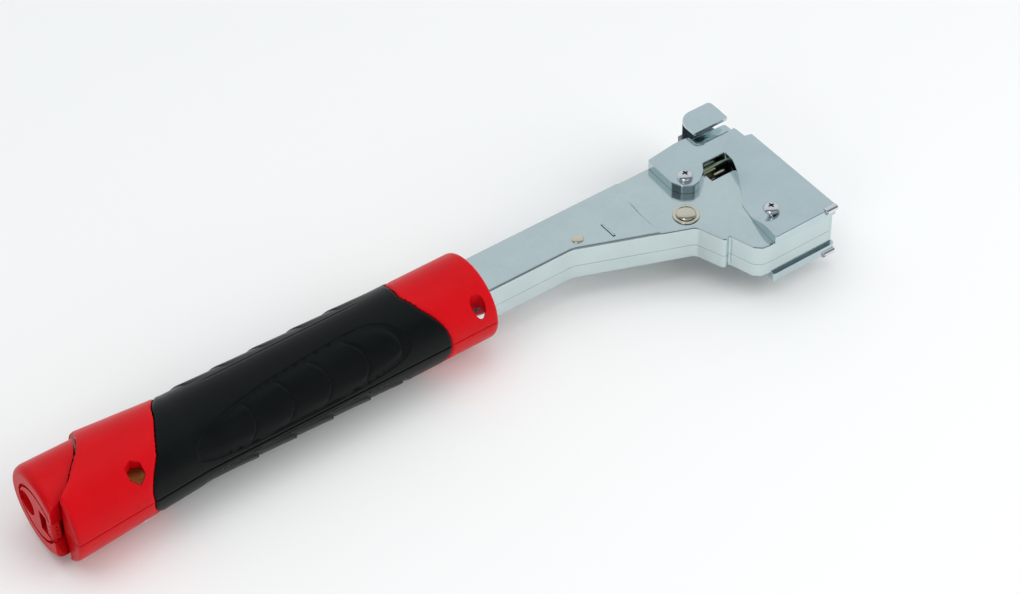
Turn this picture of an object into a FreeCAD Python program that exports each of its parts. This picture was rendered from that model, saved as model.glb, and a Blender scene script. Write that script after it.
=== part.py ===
import FreeCAD, Part
import Sketcher
import os

from FreeCAD import Placement, Rotation, Vector

# Hammer tacker lying on its side.  +X runs from the butt of the handle to the front of the head,
# +Y points the way the nose strikes and +Z is up.  The origin is under the middle of the tool,
# on the surface it lies on, and every piece is mirrored about the mid plane of the handle.

os.makedirs("parts", exist_ok=True)
doc = FreeCAD.newDocument("hammer_tacker")
sheet = doc.addObject("Spreadsheet::Sheet", "Sizes")

sizes = {
    # whole tool
    "mid_height": 17.9,
    "butt_x": -147.0,
    "front_x": 147.0,
    # arm and head frame, two pressed half shells
    "arm_half": 7.5,
    "sheet_steel": 1.1,
    "arm_tail_x": -112.0,
    "arm_low_y": 5.9,
    "arm_high_y": 23.9,
    "bend_x": 61.0,
    "seam_drop": 1.05,
    "seam_gap": 0.1,
    "head_corner_x": 102.5,
    "head_corner_y": -10.9,
    "head_back_x": 106.7,
    "head_back_y": -22.5,
    "head_step_x": 109.1,
    "head_step_y": -21.2,
    "head_heel_x": 112.2,
    "head_low_y": -33.4,
    "head_face_x": 144.6,
    "joggle_x": 91.0,
    "joggle_depth": 0.35,
    "lance_x": 76.0,
    "lance_width": 1.1,
    # covers over the head
    "cover_rise": 3.7,
    "cover_wall": 1.4,
    "cover_left_x": 108.0,
    "cover_high_y": 26.1,
    "cover_low_y": -34.5,
    "window_low_x": 122.7,
    "window_high_y": 11.4,
    "screw_high_x": 113.1,
    "screw_high_y": 9.3,
    "screw_low_x": 126.8,
    "screw_low_y": -22.2,
    "screw_radius": 1.6,
    "screw_head": 2.9,
    "screw_head_rise": 2.0,
    "cross_reach": 1.5,
    "cross_half": 0.35,
    "cross_floor": 0.9,
    "front_plate": 1.5,
    # rivets through the frame
    "rivet_x": 103.6,
    "rivet_y": -3.6,
    "rivet_radius": 3.6,
    "rivet_head_rise": 1.5,
    "ring_width": 1.35,
    "ring_thick": 0.6,
    "small_rivet_x": 65.2,
    "small_rivet_y": 8.9,
    "small_rivet_radius": 2.3,
    "small_rivet_rise": 0.9,
    "small_shank": 1.3,
    # handle
    "handle_y": 14.9,
    "collar_x": 24.0,
    "grip_y_half": 17.0,
    "grip_z_half": 15.5,
    "cap_start_x": -92.0,
    "cap_end_x": -143.0,
    "cap_y_half": 21.1,
    "cap_z_half": 18.5,
    "grip_wall": 2.6,
    "core_edge": 1.4,
    "bolt_radius": 1.5,
    "nut_radius": 3.2,
    "nut_thick": 2.4,
    "bolt_head": 2.6,
    "bolt_head_thick": 2.2,
    "socket_radius": 1.4,
    "cap_bolt_reach": 7.6,
    "collar_bolt_reach": 4.2,
    "collar_screw_tip": 5.0,
    "cap_bolt_x": -116.4,
    "cap_bolt_y": 1.6,
    "collar_bolt_x": 17.4,
    "collar_bolt_y": 1.3,
    # magazine
    "pivot_x": -104.0,
    "pivot_y": 18.0,
    "pivot_radius": 2.2,
    "pivot_flange": 3.4,
    "flange_thick": 0.8,
    "magazine_half": 6.1,
    "magazine_wall": 0.7,
    "magazine_roof": 0.8,
    "magazine_tail_x": -121.0,
    "magazine_nose_x": 128.0,
    "magazine_low_y": 11.2,
    "magazine_high_y": 24.6,
    # nose
    "nose_left_x": 128.5,
    "nose_right_x": 144.0,
    "nose_tip_y": 34.5,
    "nose_guide_end_y": 32.4,
    "shoe_half": 13.4,
    "shoe_sheet": 1.6,
    "shoe_lip_y": 23.5,
    "blade_x": 134.2,
    "blade_thick": 1.25,
    "blade_half": 5.2,
    "blade_gap": 0.45,
    "blade_hold": 5.0,
    "driver_half": 6.2,
    "driver_back": 7.0,
    "driver_rise": 11.0,
    "spring_x": 126.1,
    "spring_outer": 3.4,
    "spring_inner": 2.3,
    "seat_thick": 0.9,
    "seat_post": 1.4,
    # loader
    "rail_half": 3.8,
    "rail_wall": 0.8,
    "rail_stop": 3.0,
    "rail_pin_x": -134.4,
    "rail_pin_y": 14.6,
    "small_pin": 1.0,
    "small_pin_half": 7.0,
    "rail_low_y": 12.7,
    "rail_high_y": 22.2,
    "rail_tail_x": -136.0,
    "catch_pin_x": -139.6,
    "catch_pin_y": 12.2,
    "rail_nose_x": 120.0,
    "knob_front_x": -125.1,
    "knob_y_half": 17.4,
    "knob_z_half": 15.8,
    "finger_radius": 4.6,
    "finger_depth": 3.0,
    "catch_half": 4.0,
    "follower_x": 98.0,
    "follower_length": 20.6,
    "rod_radius": 1.1,
    "rod_y": 18.0,
    "feed_outer": 2.3,
    "feed_inner": 1.5,
}
for row, (alias, number) in enumerate(sizes.items(), start=1):
    sheet.set("A%d" % row, alias)
    sheet.set("B%d" % row, str(number))
    sheet.setAlias("B%d" % row, alias)
doc.recompute()


class Term:
    """A length worked out from the sheet, kept both as a number and as a cell formula."""

    def __init__(self, number, formula):
        self.number = number
        self.formula = formula

    def join(self, other, sign, number):
        text = other.formula if isinstance(other, Term) else repr(float(other))
        return Term(number, "(%s %s %s)" % (self.formula, sign, text))

    def __add__(self, other):
        return self.join(other, "+", self.number + plain(other))

    def __sub__(self, other):
        return self.join(other, "-", self.number - plain(other))

    def __mul__(self, other):
        return self.join(other, "*", self.number * plain(other))

    def __truediv__(self, other):
        return self.join(other, "/", self.number / plain(other))

    def __neg__(self):
        return Term(-self.number, "(0 - %s)" % self.formula)


class Sheet:
    """Reads a cell of the sheet by its alias."""

    def __getattr__(self, alias):
        return Term(sizes[alias], "Sizes.%s" % alias)


s = Sheet()
mid = s.mid_height
nodes = []

# clearances between neighbours, and how far a cutting tool runs past the face it cuts
over = 1.0
clear_of_all = 30.0
half_gap = 0.05
running_gap = 0.25
socket_ease = 0.1


def plain(length):
    return length.number if isinstance(length, Term) else float(length)


def bind(thing, name, length):
    """Set a property, and tie it to the sheet where the length comes from there."""
    if isinstance(length, Term):
        thing.setExpression(name, length.formula)
    elif "." not in name:
        setattr(thing, name, length)


def place(thing, x, y, z, rotation=Rotation()):
    thing.Placement = Placement(Vector(plain(x), plain(y), plain(z)), rotation)
    for name, length in (("x", x), ("y", y), ("z", z)):
        bind(thing, "Placement.Base." + name, length)
    return thing


def block(name, x, y, z):
    """A box between two lengths along each axis."""
    thing = doc.addObject("Part::Box", name)
    bind(thing, "Length", x[1] - x[0])
    bind(thing, "Width", y[1] - y[0])
    bind(thing, "Height", z[1] - z[0])
    return place(thing, x[0], y[0], z[0])


turns = {
    "x": Rotation(Vector(0, 1, 0), 90),
    "y": Rotation(Vector(1, 0, 0), -90),
    "z": Rotation(),
}


def rod(name, start, radius, length, axis="z"):
    """A cylinder that starts at a point and runs along +X, +Y or +Z."""
    thing = doc.addObject("Part::Cylinder", name)
    bind(thing, "Radius", radius)
    bind(thing, "Height", length)
    return place(thing, *start, turns[axis])


def dome(name, centre, radius, height, up=1):
    """A low rivet or screw head: a cone that narrows to its flat top, standing on a face."""
    top_share = 0.55
    thing = doc.addObject("Part::Cone", name)
    bind(thing, "Radius1", radius)
    bind(thing, "Radius2", radius * top_share)
    bind(thing, "Height", height)
    turn = Rotation() if up > 0 else Rotation(Vector(1, 0, 0), 180)
    return place(thing, *centre, turn)


def prism(name, points, low, high):
    """An upright plate: an outline of straight lines padded from one height to another."""
    body = doc.addObject("PartDesign::Body", name)
    outline = body.newObject("Sketcher::SketchObject", name + "_outline")
    plane = next(f for f in body.Origin.OriginFeatures if f.Role == "XY_Plane")
    outline.AttachmentSupport = [(plane, "")]
    outline.MapMode = "FlatFace"
    bind(outline, "AttachmentOffset.Base.z", low)
    corners = [Vector(plain(x), plain(y), 0) for x, y in points]
    count = len(points)
    for i in range(count):
        outline.addGeometry(Part.LineSegment(corners[i], corners[(i + 1) % count]), False)
    for i in range(count):
        outline.addConstraint(Sketcher.Constraint("Coincident", i, 2, (i + 1) % count, 1))
    for i, (x, y) in enumerate(points):
        for kind, length in (("DistanceX", x), ("DistanceY", y)):
            index = outline.addConstraint(Sketcher.Constraint(kind, i, 1, plain(length)))
            if isinstance(length, Term):
                outline.setExpression("Constraints[%d]" % index, length.formula)
    pad = body.newObject("PartDesign::Pad", name + "_pad")
    pad.Profile = outline
    bind(pad, "Length", high - low)
    return body


def place_hexagon(name, x, y, low, radius, height):
    """An upright hexagonal bar, for nuts and the pockets that hold them."""
    thing = doc.addObject("Part::Prism", name)
    thing.Polygon = 6
    bind(thing, "Circumradius", radius)
    bind(thing, "Height", height)
    return place(thing, x, y, low)


def join(name, *pieces):
    thing = doc.addObject("Part::MultiFuse", name)
    thing.Shapes = list(pieces)
    return thing


def cut(name, base, *tools):
    """Take tools away from a base, one after another."""
    for number, tool in enumerate(tools):
        thing = doc.addObject("Part::Cut", "%s_%d" % (name, number) if tool is not tools[-1] else name)
        thing.Base = base
        thing.Tool = tool
        base = thing
    return base


def common(name, *pieces):
    thing = doc.addObject("Part::MultiCommon", name)
    thing.Shapes = list(pieces)
    return thing


def group(name, *pieces):
    """Separate solids that share one node."""
    thing = doc.addObject("Part::Compound", name)
    thing.Links = list(pieces)
    return thing


def mirror(name, source):
    """The same piece on the other side of the mid plane."""
    thing = doc.addObject("Part::Mirroring", name)
    thing.Source = source
    thing.Normal = Vector(0, 0, 1)
    bind(thing, "Base.z", mid)
    thing.Base = Vector(0, 0, plain(mid))
    return thing


def node(thing, label):
    thing.Label = label
    nodes.append(thing)
    return thing


def inset(points, depth):
    """The line that runs a sheet's thickness to the left of an open line of points."""
    flat = [Vector(plain(x), plain(y), 0) for x, y in points]
    steps = [(b - a).normalize() for a, b in zip(flat, flat[1:])]
    lefts = [Vector(-step.y, step.x, 0) for step in steps]
    moved = []
    for i, (x, y) in enumerate(points):
        before = lefts[max(i - 1, 0)]
        after = lefts[min(i, len(lefts) - 1)]
        shift = (before + after) * (1 / (1 + before.dot(after)))
        moved.append((x + depth * shift.x, y + depth * shift.y))
    return moved


# ---- arm and head frame: an upper and a lower pressed half shell, folded along the back edge

fold_line = [
    (s.arm_tail_x, s.arm_low_y),
    (s.bend_x, s.arm_low_y),
    (s.head_corner_x, s.head_corner_y),
    (s.head_back_x, s.head_back_y),
    (s.head_step_x, s.head_step_y),
    (s.head_heel_x, s.head_low_y + 2.6),
    (s.head_heel_x + 2.4, s.head_low_y + 0.4),
    (s.head_heel_x + 5.4, s.head_low_y),
    (s.head_face_x, s.head_low_y),
]
shell_outline = fold_line + [(s.head_face_x, s.arm_high_y), (s.arm_tail_x, s.arm_high_y)]
hollow_line = inset(fold_line, s.sheet_steel)
hollow_line[0] = (s.arm_tail_x - over, s.arm_low_y + s.sheet_steel)
hollow_line[-1] = (s.head_face_x + over, s.head_low_y + s.sheet_steel)
shell_hollow = hollow_line + [
    (s.head_face_x + over, s.arm_high_y + over),
    (s.arm_tail_x - over, s.arm_high_y + over),
]
rivet_shank = s.rivet_radius * 0.8
joggle_area = [
    (s.joggle_x, s.arm_low_y - 30),
    (s.joggle_x - 0.6, s.arm_low_y),
    (s.joggle_x + 3.0, s.arm_high_y + over),
    (s.front_x, s.arm_high_y + over),
    (s.front_x, s.arm_low_y - 50),
    (s.joggle_x + 10, s.arm_low_y - 50),
]


def shell(name, seam, face, up):
    """One half shell: plate at the face, folded wall down to the seam, with its punched holes."""
    low, high = (seam, face) if up > 0 else (face, seam)
    outer = prism(name + "_outside", shell_outline, low, high)
    inside = s.sheet_steel
    spans = (low - over, high - inside) if up > 0 else (low + inside, high + over)
    hollow = prism(name + "_inside", shell_hollow, *spans)
    skim = s.joggle_depth
    skin = (face - skim, face + over) if up > 0 else (face - over, face + skim)
    joggle = prism(name + "_joggle", joggle_area, *skin)
    reach = 2.5  # past both faces of the plate, and short of anything inside the arm
    punched = {
        "rivet_hole": (s.rivet_x, s.rivet_y, rivet_shank),
        "small_hole": (s.small_rivet_x, s.small_rivet_y, s.small_shank),
        "pivot_hole": (s.pivot_x, s.pivot_y, s.pivot_radius),
        "screw_hole_a": (s.screw_high_x, s.screw_high_y, s.screw_radius),
        "screw_hole_b": (s.screw_low_x, s.screw_low_y, s.screw_radius),
    }
    holes = [
        rod("%s_%s" % (name, hole), (x, y, face - reach), radius, 2 * reach)
        for hole, (x, y, radius) in punched.items()
    ]
    holes += [
        block(name + "_slot", (s.lance_x, s.lance_x + s.lance_width), (s.arm_low_y - 3.6, s.arm_low_y + 4.0),
              (face - reach, face + reach)),
        block(name + "_window", (s.window_low_x - 0.6, s.window_low_x + 11.6),
              (s.window_high_y - 6.4, s.window_high_y + 0.4), (face - reach, face + reach)),
    ]
    return cut(name + "_shell", outer, hollow, joggle, *holes)


seam_level = mid - s.seam_drop
node(shell("arm_upper", seam_level + s.seam_gap / 2, mid + s.arm_half, 1), "arm_shell_upper")
node(shell("arm_lower", seam_level - s.seam_gap / 2, mid - s.arm_half, -1), "arm_shell_lower")

# ---- pressed covers over both sides of the head, hollow underneath, with the window cut out

cover_outline = [
    (s.cover_left_x, s.cover_high_y - 1.6),
    (s.cover_left_x - 0.6, s.window_high_y - 1.6),
    (s.cover_left_x + 1.2, s.window_high_y - 5.4),
    (s.cover_left_x + 4.8, s.window_high_y - 7.6),
    (s.cover_left_x + 8.2, s.window_high_y - 6.8),
    (s.window_low_x - 2.2, s.window_high_y - 3.4),
    (s.window_low_x, s.window_high_y),
    (s.window_low_x + 10.2, s.window_high_y),
    (s.window_low_x + 9.8, s.window_high_y - 4.6),
    (s.window_low_x + 6.8, s.window_high_y - 12.4),
    (s.window_low_x + 2.7, s.window_high_y - 19.4),
    (s.window_low_x - 0.1, s.window_high_y - 22.7),
    (s.window_low_x - 2.1, s.window_high_y - 31.6),
    (s.window_low_x - 3.6, s.cover_low_y),
    (s.front_x - 0.2, s.cover_low_y),
    (s.front_x, s.cover_low_y + 48),
    (s.front_x - 2.7, s.cover_low_y + 48.8),
    (s.front_x - 3.1, s.cover_high_y - 0.8),
    (s.window_low_x - 1.6, s.cover_high_y),
]
cover_hollow = [
    (s.window_low_x + 5.0, s.cover_low_y + 2.4),
    (s.front_x - 4.0, s.cover_low_y + 2.4),
    (s.front_x - 4.0, s.cover_low_y + 46),
    (s.front_x - 5.0, s.cover_high_y - 3.0),
    (s.cover_left_x + 2.0, s.cover_high_y - 3.6),
    (s.cover_left_x + 2.0, s.window_high_y + 2.2),
    (s.window_low_x + 12.4, s.window_high_y + 2.2),
    (s.window_low_x + 12.0, s.window_high_y - 5.4),
    (s.window_low_x + 6.0, s.window_high_y - 18.6),
]
plate_top = mid + s.arm_half - s.joggle_depth
cover_top = plate_top + s.cover_rise
cover_body = cut(
    "cover_pressed",
    prism("cover_outside", cover_outline, plate_top, cover_top),
    prism("cover_inside", cover_hollow, plate_top - over, cover_top - s.cover_wall),
    rod("cover_hole_a", (s.screw_high_x, s.screw_high_y, plate_top - over), s.screw_radius,
        s.cover_rise + 2 * over),
    rod("cover_hole_b", (s.screw_low_x, s.screw_low_y, plate_top - over), s.screw_radius,
        s.cover_rise + 2 * over),
)
node(cover_body, "head_cover_upper")
node(mirror("cover_other_side", cover_body), "head_cover_lower")

# front plate that closes the head between the two covers
node(
    block("front_plate_stock", (s.head_face_x, s.head_face_x + s.front_plate),
          (s.cover_low_y + 1.2, s.cover_low_y + 47.4),
          (mid - s.arm_half + s.joggle_depth, mid + s.arm_half - s.joggle_depth)),
    "head_front_plate",
)


def screw(name, x, y, tip):
    """A pan head cover screw with a cross recess, its shank ending at a height in the head."""
    head = dome(name + "_head", (x, y, cover_top), s.screw_head, s.screw_head_rise)
    shank = rod(name + "_shank", (x, y, tip), s.screw_radius, cover_top - tip)
    length, half = s.cross_reach, s.cross_half
    depth = (cover_top + s.cross_floor, cover_top + s.screw_head_rise + over)
    arm_a = block(name + "_cross_a", (x - length, x + length), (y - half, y + half), depth)
    arm_b = block(name + "_cross_b", (x - half, x + half), (y - length, y + length), depth)
    return cut(name, join(name + "_blank", head, shank), arm_a, arm_b)


upper_screws = [
    screw("short_screw", s.screw_high_x, s.screw_high_y, mid + s.arm_half - s.sheet_steel),
    screw("long_screw", s.screw_low_x, s.screw_low_y, mid + 1.5),
]
lower_screws = [mirror(piece.Name + "_below", piece) for piece in upper_screws]
node(group("screw_set", *upper_screws, *lower_screws), "cover_screws")

# big rivet through the frame with a ring under each head, and the two short rivets in the arm
rivet_face = mid + s.arm_half - s.joggle_depth
ring_blank = rod("rivet_ring_blank", (s.rivet_x, s.rivet_y, rivet_face), s.rivet_radius + s.ring_width,
                 s.ring_thick)
ring_hole = rod("rivet_ring_hole", (s.rivet_x, s.rivet_y, rivet_face - over), rivet_shank,
                s.ring_thick + 2 * over)
ring_above = cut("rivet_ring", ring_blank, ring_hole)
node(group("rivet_rings_set", ring_above, mirror("rivet_ring_below", ring_above)), "rivet_rings")
rivet_reach = s.arm_half - s.joggle_depth + s.ring_thick
rivet_shaft = rod("rivet_shaft", (s.rivet_x, s.rivet_y, mid - rivet_reach), rivet_shank, rivet_reach * 2)
rivet_head = dome("rivet_head", (s.rivet_x, s.rivet_y, rivet_face + s.ring_thick), s.rivet_radius,
                  s.rivet_head_rise)
node(join("rivet_whole", rivet_shaft, rivet_head, mirror("rivet_head_below", rivet_head)), "frame_rivet")
stub = join(
    "small_rivet_above",
    rod("small_shank", (s.small_rivet_x, s.small_rivet_y, mid + s.arm_half - s.sheet_steel), s.small_shank,
        s.sheet_steel),
    dome("small_head", (s.small_rivet_x, s.small_rivet_y, mid + s.arm_half), s.small_rivet_radius,
         s.small_rivet_rise),
)
node(group("small_rivet_set", stub, mirror("small_rivet_below", stub)), "arm_rivets")

# ---- driver: a steel block held by the long screws, with the blade that pushes the staple out
driver_top = s.screw_low_y + s.driver_rise
blade_foot = s.screw_low_y - s.blade_hold
driver_stock = block("driver_stock", (s.screw_low_x - s.driver_back, s.head_face_x - 0.4),
                     (s.head_low_y + 2.2, driver_top), (mid - s.driver_half, mid + s.driver_half))
driver_slot = block("driver_slot", (s.blade_x, s.blade_x + s.blade_thick), (blade_foot, driver_top + over),
                    (mid - s.blade_half, mid + s.blade_half))
driver_bore = rod("driver_bore", (s.screw_low_x, s.screw_low_y, mid - s.arm_half), s.screw_radius,
                  s.arm_half * 2)
node(cut("driver_block_cut", driver_stock, driver_slot, driver_bore), "driver_block")
node(
    block("blade_stock", (s.blade_x, s.blade_x + s.blade_thick), (blade_foot, s.magazine_low_y - 0.4),
          (mid - s.blade_half, mid + s.blade_half)),
    "driver_blade",
)

# ---- magazine: a channel open towards the driver, swinging on two stub pins inside the handle
channel = cut(
    "channel_cut",
    block("channel_stock", (s.magazine_tail_x, s.magazine_nose_x), (s.magazine_low_y, s.magazine_high_y),
          (mid - s.magazine_half, mid + s.magazine_half)),
    block("channel_space", (s.magazine_tail_x - over, s.magazine_nose_x + over),
          (s.magazine_low_y - over, s.magazine_high_y - s.magazine_roof),
          (mid - s.magazine_half + s.magazine_wall, mid + s.magazine_half - s.magazine_wall)),
    rod("channel_pivot_hole", (s.pivot_x, s.pivot_y, mid - s.arm_half), s.pivot_radius + half_gap,
        s.arm_half * 2),
)
node(channel, "magazine_channel")
pin_above = join(
    "pivot_pin_above",
    rod("pivot_stub", (s.pivot_x, s.pivot_y, mid + s.magazine_half - s.magazine_wall), s.pivot_radius,
        s.arm_half - s.magazine_half + s.magazine_wall),
    rod("pivot_flange", (s.pivot_x, s.pivot_y, mid + s.arm_half), s.pivot_flange, s.flange_thick),
)
node(group("pivot_pin_set", pin_above, mirror("pivot_pin_below", pin_above)), "pivot_pins")

blade_room_x = (s.blade_x - s.blade_gap, s.blade_x + s.blade_thick + s.blade_gap)
blade_room_half = s.blade_half + 0.2
blade_room_z = (mid - blade_room_half, mid + blade_room_half)
guide = cut(
    "guide_cut",
    block("guide_stock", (s.magazine_nose_x, s.head_face_x - 3.4), (s.magazine_low_y, s.nose_guide_end_y),
          (mid - s.magazine_half, mid + s.magazine_half)),
    block("guide_slot", blade_room_x, (s.magazine_low_y - over, s.nose_guide_end_y + over), blade_room_z),
    block("guide_mouth", (s.magazine_nose_x - over, s.blade_x), (s.rail_low_y - 0.7, s.rail_high_y + 1.0),
          blade_room_z),
)
node(guide, "nose_guide")

# hardened shoe round the nose: a strike face and two cheeks with lips turned in over the covers
cheek_outline = [
    (s.nose_left_x, s.shoe_lip_y),
    (s.nose_right_x - 0.4, s.shoe_lip_y),
    (s.nose_right_x, s.nose_tip_y - 2.4),
    (s.nose_right_x - 1.6, s.nose_tip_y),
    (s.nose_left_x + 5.4, s.nose_tip_y),
    (s.nose_left_x + 2.0, s.nose_tip_y - 2.0),
    (s.nose_left_x, s.nose_tip_y - 6.0),
]
shoe_inner = s.shoe_half - s.shoe_sheet
shoe_gap = 0.3
shoe = cut(
    "shoe_cut",
    prism("shoe_outside", cheek_outline, mid - s.shoe_half, mid + s.shoe_half),
    block("shoe_inside", (s.nose_left_x - over, s.nose_right_x + over),
          (s.shoe_lip_y + s.shoe_sheet, s.nose_guide_end_y), (mid - shoe_inner, mid + shoe_inner)),
    block("shoe_throat", (s.nose_left_x - over, s.nose_right_x + over),
          (s.shoe_lip_y - over, s.nose_guide_end_y),
          (mid - s.arm_half + s.joggle_depth - s.cover_rise - shoe_gap,
           mid + s.arm_half - s.joggle_depth + s.cover_rise + shoe_gap)),
    block("shoe_slot", blade_room_x, (s.nose_guide_end_y - over, s.nose_tip_y + over), blade_room_z),
)
node(shoe, "nose_shoe")

# seat on top of the magazine for the return spring, and the spring up to the driver block
seat_face = s.magazine_low_y - s.seat_thick
seat = join(
    "seat_whole",
    block("seat_plate", (s.window_low_x - 0.4, s.magazine_nose_x), (seat_face, s.magazine_low_y),
          (mid - s.magazine_half, mid + s.magazine_half)),
    rod("seat_post", (s.spring_x, s.magazine_low_y - 4.4, mid), s.seat_post, 3.6, "y"),
)
node(seat, "spring_seat")
coil_length = seat_face - driver_top
spring = cut(
    "return_spring_tube",
    rod("spring_outside", (s.spring_x, driver_top, mid), s.spring_outer, coil_length, "y"),
    rod("spring_inside", (s.spring_x, driver_top - over, mid), s.spring_inner, coil_length + 2 * over, "y"),
)
node(spring, "return_spring")

# ---- loader: rail, guide rod, follower and spring, drawn out of the butt by the red knob
rail = cut(
    "rail_cut",
    block("rail_stock", (s.rail_tail_x, s.rail_nose_x), (s.rail_low_y, s.rail_high_y),
          (mid - s.rail_half, mid + s.rail_half)),
    block("rail_space", (s.rail_tail_x + s.rail_stop, s.rail_nose_x - 1.2),
          (s.rail_low_y + s.rail_wall, s.rail_high_y + over),
          (mid - s.rail_half + s.rail_wall, mid + s.rail_half - s.rail_wall)),
    rod("rail_rod_hole", (s.rail_tail_x - over, s.rod_y, mid), s.rod_radius,
        s.rail_nose_x - s.rail_tail_x + 2 * over, "x"),
    rod("rail_pin_hole", (s.rail_pin_x, s.rail_pin_y, mid - s.small_pin_half), s.small_pin,
        s.small_pin_half * 2),
)
node(rail, "loader_rail")
node(rod("guide_rod_stock", (s.rail_tail_x, s.rod_y, mid), s.rod_radius, s.rail_nose_x - s.rail_tail_x, "x"),
     "guide_rod")
feed_start = s.rail_tail_x + s.rail_stop
feed_length = s.follower_x - feed_start
feed = cut(
    "feed_spring_tube",
    rod("feed_outside", (feed_start, s.rod_y, mid), s.feed_outer, feed_length, "x"),
    rod("feed_inside", (feed_start - over, s.rod_y, mid), s.feed_inner, feed_length + 2 * over, "x"),
)
node(feed, "feed_spring")
ease = running_gap
follower_end = s.follower_x + s.follower_length
follower = cut(
    "follower_cut",
    block("follower_stock", (s.follower_x, follower_end), (s.magazine_low_y + 0.3, s.magazine_high_y - 1.1),
          (mid - s.blade_half + 0.1, mid + s.blade_half - 0.1)),
    cut(
        "follower_track",
        block("track_outside", (s.follower_x - over, follower_end + over),
              (s.rail_low_y - ease, s.rail_high_y + ease),
              (mid - s.rail_half - ease, mid + s.rail_half + ease)),
        block("track_core", (s.follower_x - 2 * over, follower_end + 2 * over),
              (s.rail_low_y + s.rail_wall + ease, s.rail_high_y + 2 * over),
              (mid - s.rail_half + s.rail_wall + ease, mid + s.rail_half - s.rail_wall - ease)),
    ),
    rod("follower_bore", (s.follower_x - over, s.rod_y, mid), s.rod_radius + ease,
        s.follower_length + 2 * over, "x"),
)
node(follower, "staple_follower")

# ---- handle: two red halves bolted round the arm, each with its black soft grip


def section(name, x, y_half, z_half):
    """An oval across the handle."""
    oval = doc.addObject("Part::Ellipse", name)
    bind(oval, "MajorRadius", y_half)
    bind(oval, "MinorRadius", z_half)
    return place(oval, x, s.handle_y, mid, Rotation(Vector(1, 1, 1), 120))


def loft(name, *rows):
    """A solid through ovals that stand along the handle."""
    thing = doc.addObject("Part::Loft", name)
    thing.Sections = [section("%s_oval_%d" % (name, i), *row) for i, row in enumerate(rows)]
    thing.Solid = True
    thing.Ruled = True
    return thing


handle_form = loft(
    "handle_form",
    (s.collar_x, s.grip_y_half - 1.5, s.grip_z_half - 1.4),
    (s.collar_x - s.core_edge, s.grip_y_half - 0.2, s.grip_z_half - 0.1),
    (s.cap_start_x, s.grip_y_half, s.grip_z_half),
    (s.cap_end_x + s.core_edge, s.cap_y_half, s.cap_z_half),
    (s.cap_end_x, s.cap_y_half - 1.2, s.cap_z_half - 1.2),
)
grip_form = loft(
    "grip_form",
    (s.collar_x - 8, s.grip_y_half - s.grip_wall, s.grip_z_half - s.grip_wall),
    (s.cap_start_x - 24, s.grip_y_half - s.grip_wall, s.grip_z_half - s.grip_wall),
)
grip_region = [
    (s.cap_start_x - 1.5, s.handle_y + 20),
    (s.cap_start_x - 1.5, s.handle_y + 15),
    (s.cap_start_x - 7.0, s.handle_y + 6),
    (s.cap_start_x - 9.2, s.handle_y),
    (s.cap_start_x - 15.5, s.handle_y - 12),
    (s.cap_start_x - 21.3, s.handle_y - 18.2),
    (s.cap_start_x - 21.3, s.handle_y - 21),
    (s.collar_x - 21.5, s.handle_y - 21),
    (s.collar_x - 19.0, s.handle_y - 18.2),
    (s.collar_x - 20.5, s.handle_y - 15.4),
    (s.collar_x - 26.0, s.handle_y - 8),
    (s.collar_x - 29.5, s.handle_y),
    (s.collar_x - 28.5, s.handle_y + 11),
    (s.collar_x - 22.5, s.handle_y + 16.2),
    (s.collar_x - 22.0, s.handle_y + 20),
]
tall = (mid - clear_of_all, mid + clear_of_all)
grip_zone = prism("grip_zone", grip_region, *tall)
cap_cut_line = [
    (s.cap_end_x - 7, s.cap_bolt_y + 0.9),
    (s.cap_end_x + 0.5, s.cap_bolt_y + 1.9),
    (s.cap_end_x + 6.0, s.cap_bolt_y + 5.9),
    (s.cap_end_x + 13.0, s.handle_y + 0.6),
    (s.cap_end_x + 16.0, s.handle_y + 6.1),
    (s.cap_end_x + 18.5, s.handle_y + 14.1),
    (s.cap_end_x + 18.5, s.handle_y + 26),
]
cap_notch = prism("cap_notch", cap_cut_line + [(s.cap_end_x - 7, s.handle_y + 26)], *tall)
tunnel_half = s.arm_half + 0.3
tunnel = block("handle_tunnel", (s.cap_end_x + 10, s.collar_x + 5),
               (s.arm_low_y - 0.3, s.magazine_high_y + 0.9),
               (mid - tunnel_half, mid + tunnel_half))
pin_room = rod("pivot_room", (s.pivot_x, s.pivot_y, mid - s.arm_half - 1.1), s.pivot_radius + 1.7,
               s.arm_half * 2 + 2.2)



def stem(name, x, y, low, high, radius):
    """An upright round bar between two heights."""
    return rod(name, (x, y, low), radius, high - low)


# a bolt through the cap: its head sits in a round pocket below and its nut in a hexagonal one above
cap_x, cap_y = s.cap_bolt_x, s.cap_bolt_y
nut_foot = mid + s.cap_bolt_reach
cap_seat = mid - s.cap_bolt_reach
cap_head_end = cap_seat - s.bolt_head_thick
far_below = mid - clear_of_all
far_above = mid + clear_of_all
bolt_room = [
    stem("cap_bore", cap_x, cap_y, far_below, far_above, s.bolt_radius + socket_ease),
    stem("cap_head_room", cap_x, cap_y, far_below, cap_seat, s.bolt_head + socket_ease),
    place_hexagon("cap_nut_room", cap_x, cap_y, nut_foot, s.nut_radius + socket_ease,
                  -s.cap_bolt_reach + clear_of_all),
]
nut = cut(
    "cap_nut",
    place_hexagon("cap_nut_blank", cap_x, cap_y, nut_foot, s.nut_radius, s.nut_thick),
    stem("cap_nut_bore", cap_x, cap_y, far_below, far_above, s.bolt_radius),
)
cap_bolt = cut(
    "cap_bolt",
    join("cap_bolt_blank",
         stem("cap_shank", cap_x, cap_y, cap_seat, nut_foot + s.nut_thick + 0.2, s.bolt_radius),
         stem("cap_head", cap_x, cap_y, cap_head_end, cap_seat, s.bolt_head)),
    place_hexagon("cap_socket", cap_x, cap_y, cap_head_end - over, s.socket_radius, s.bolt_head_thick),
)
node(nut, "handle_nut")

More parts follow.
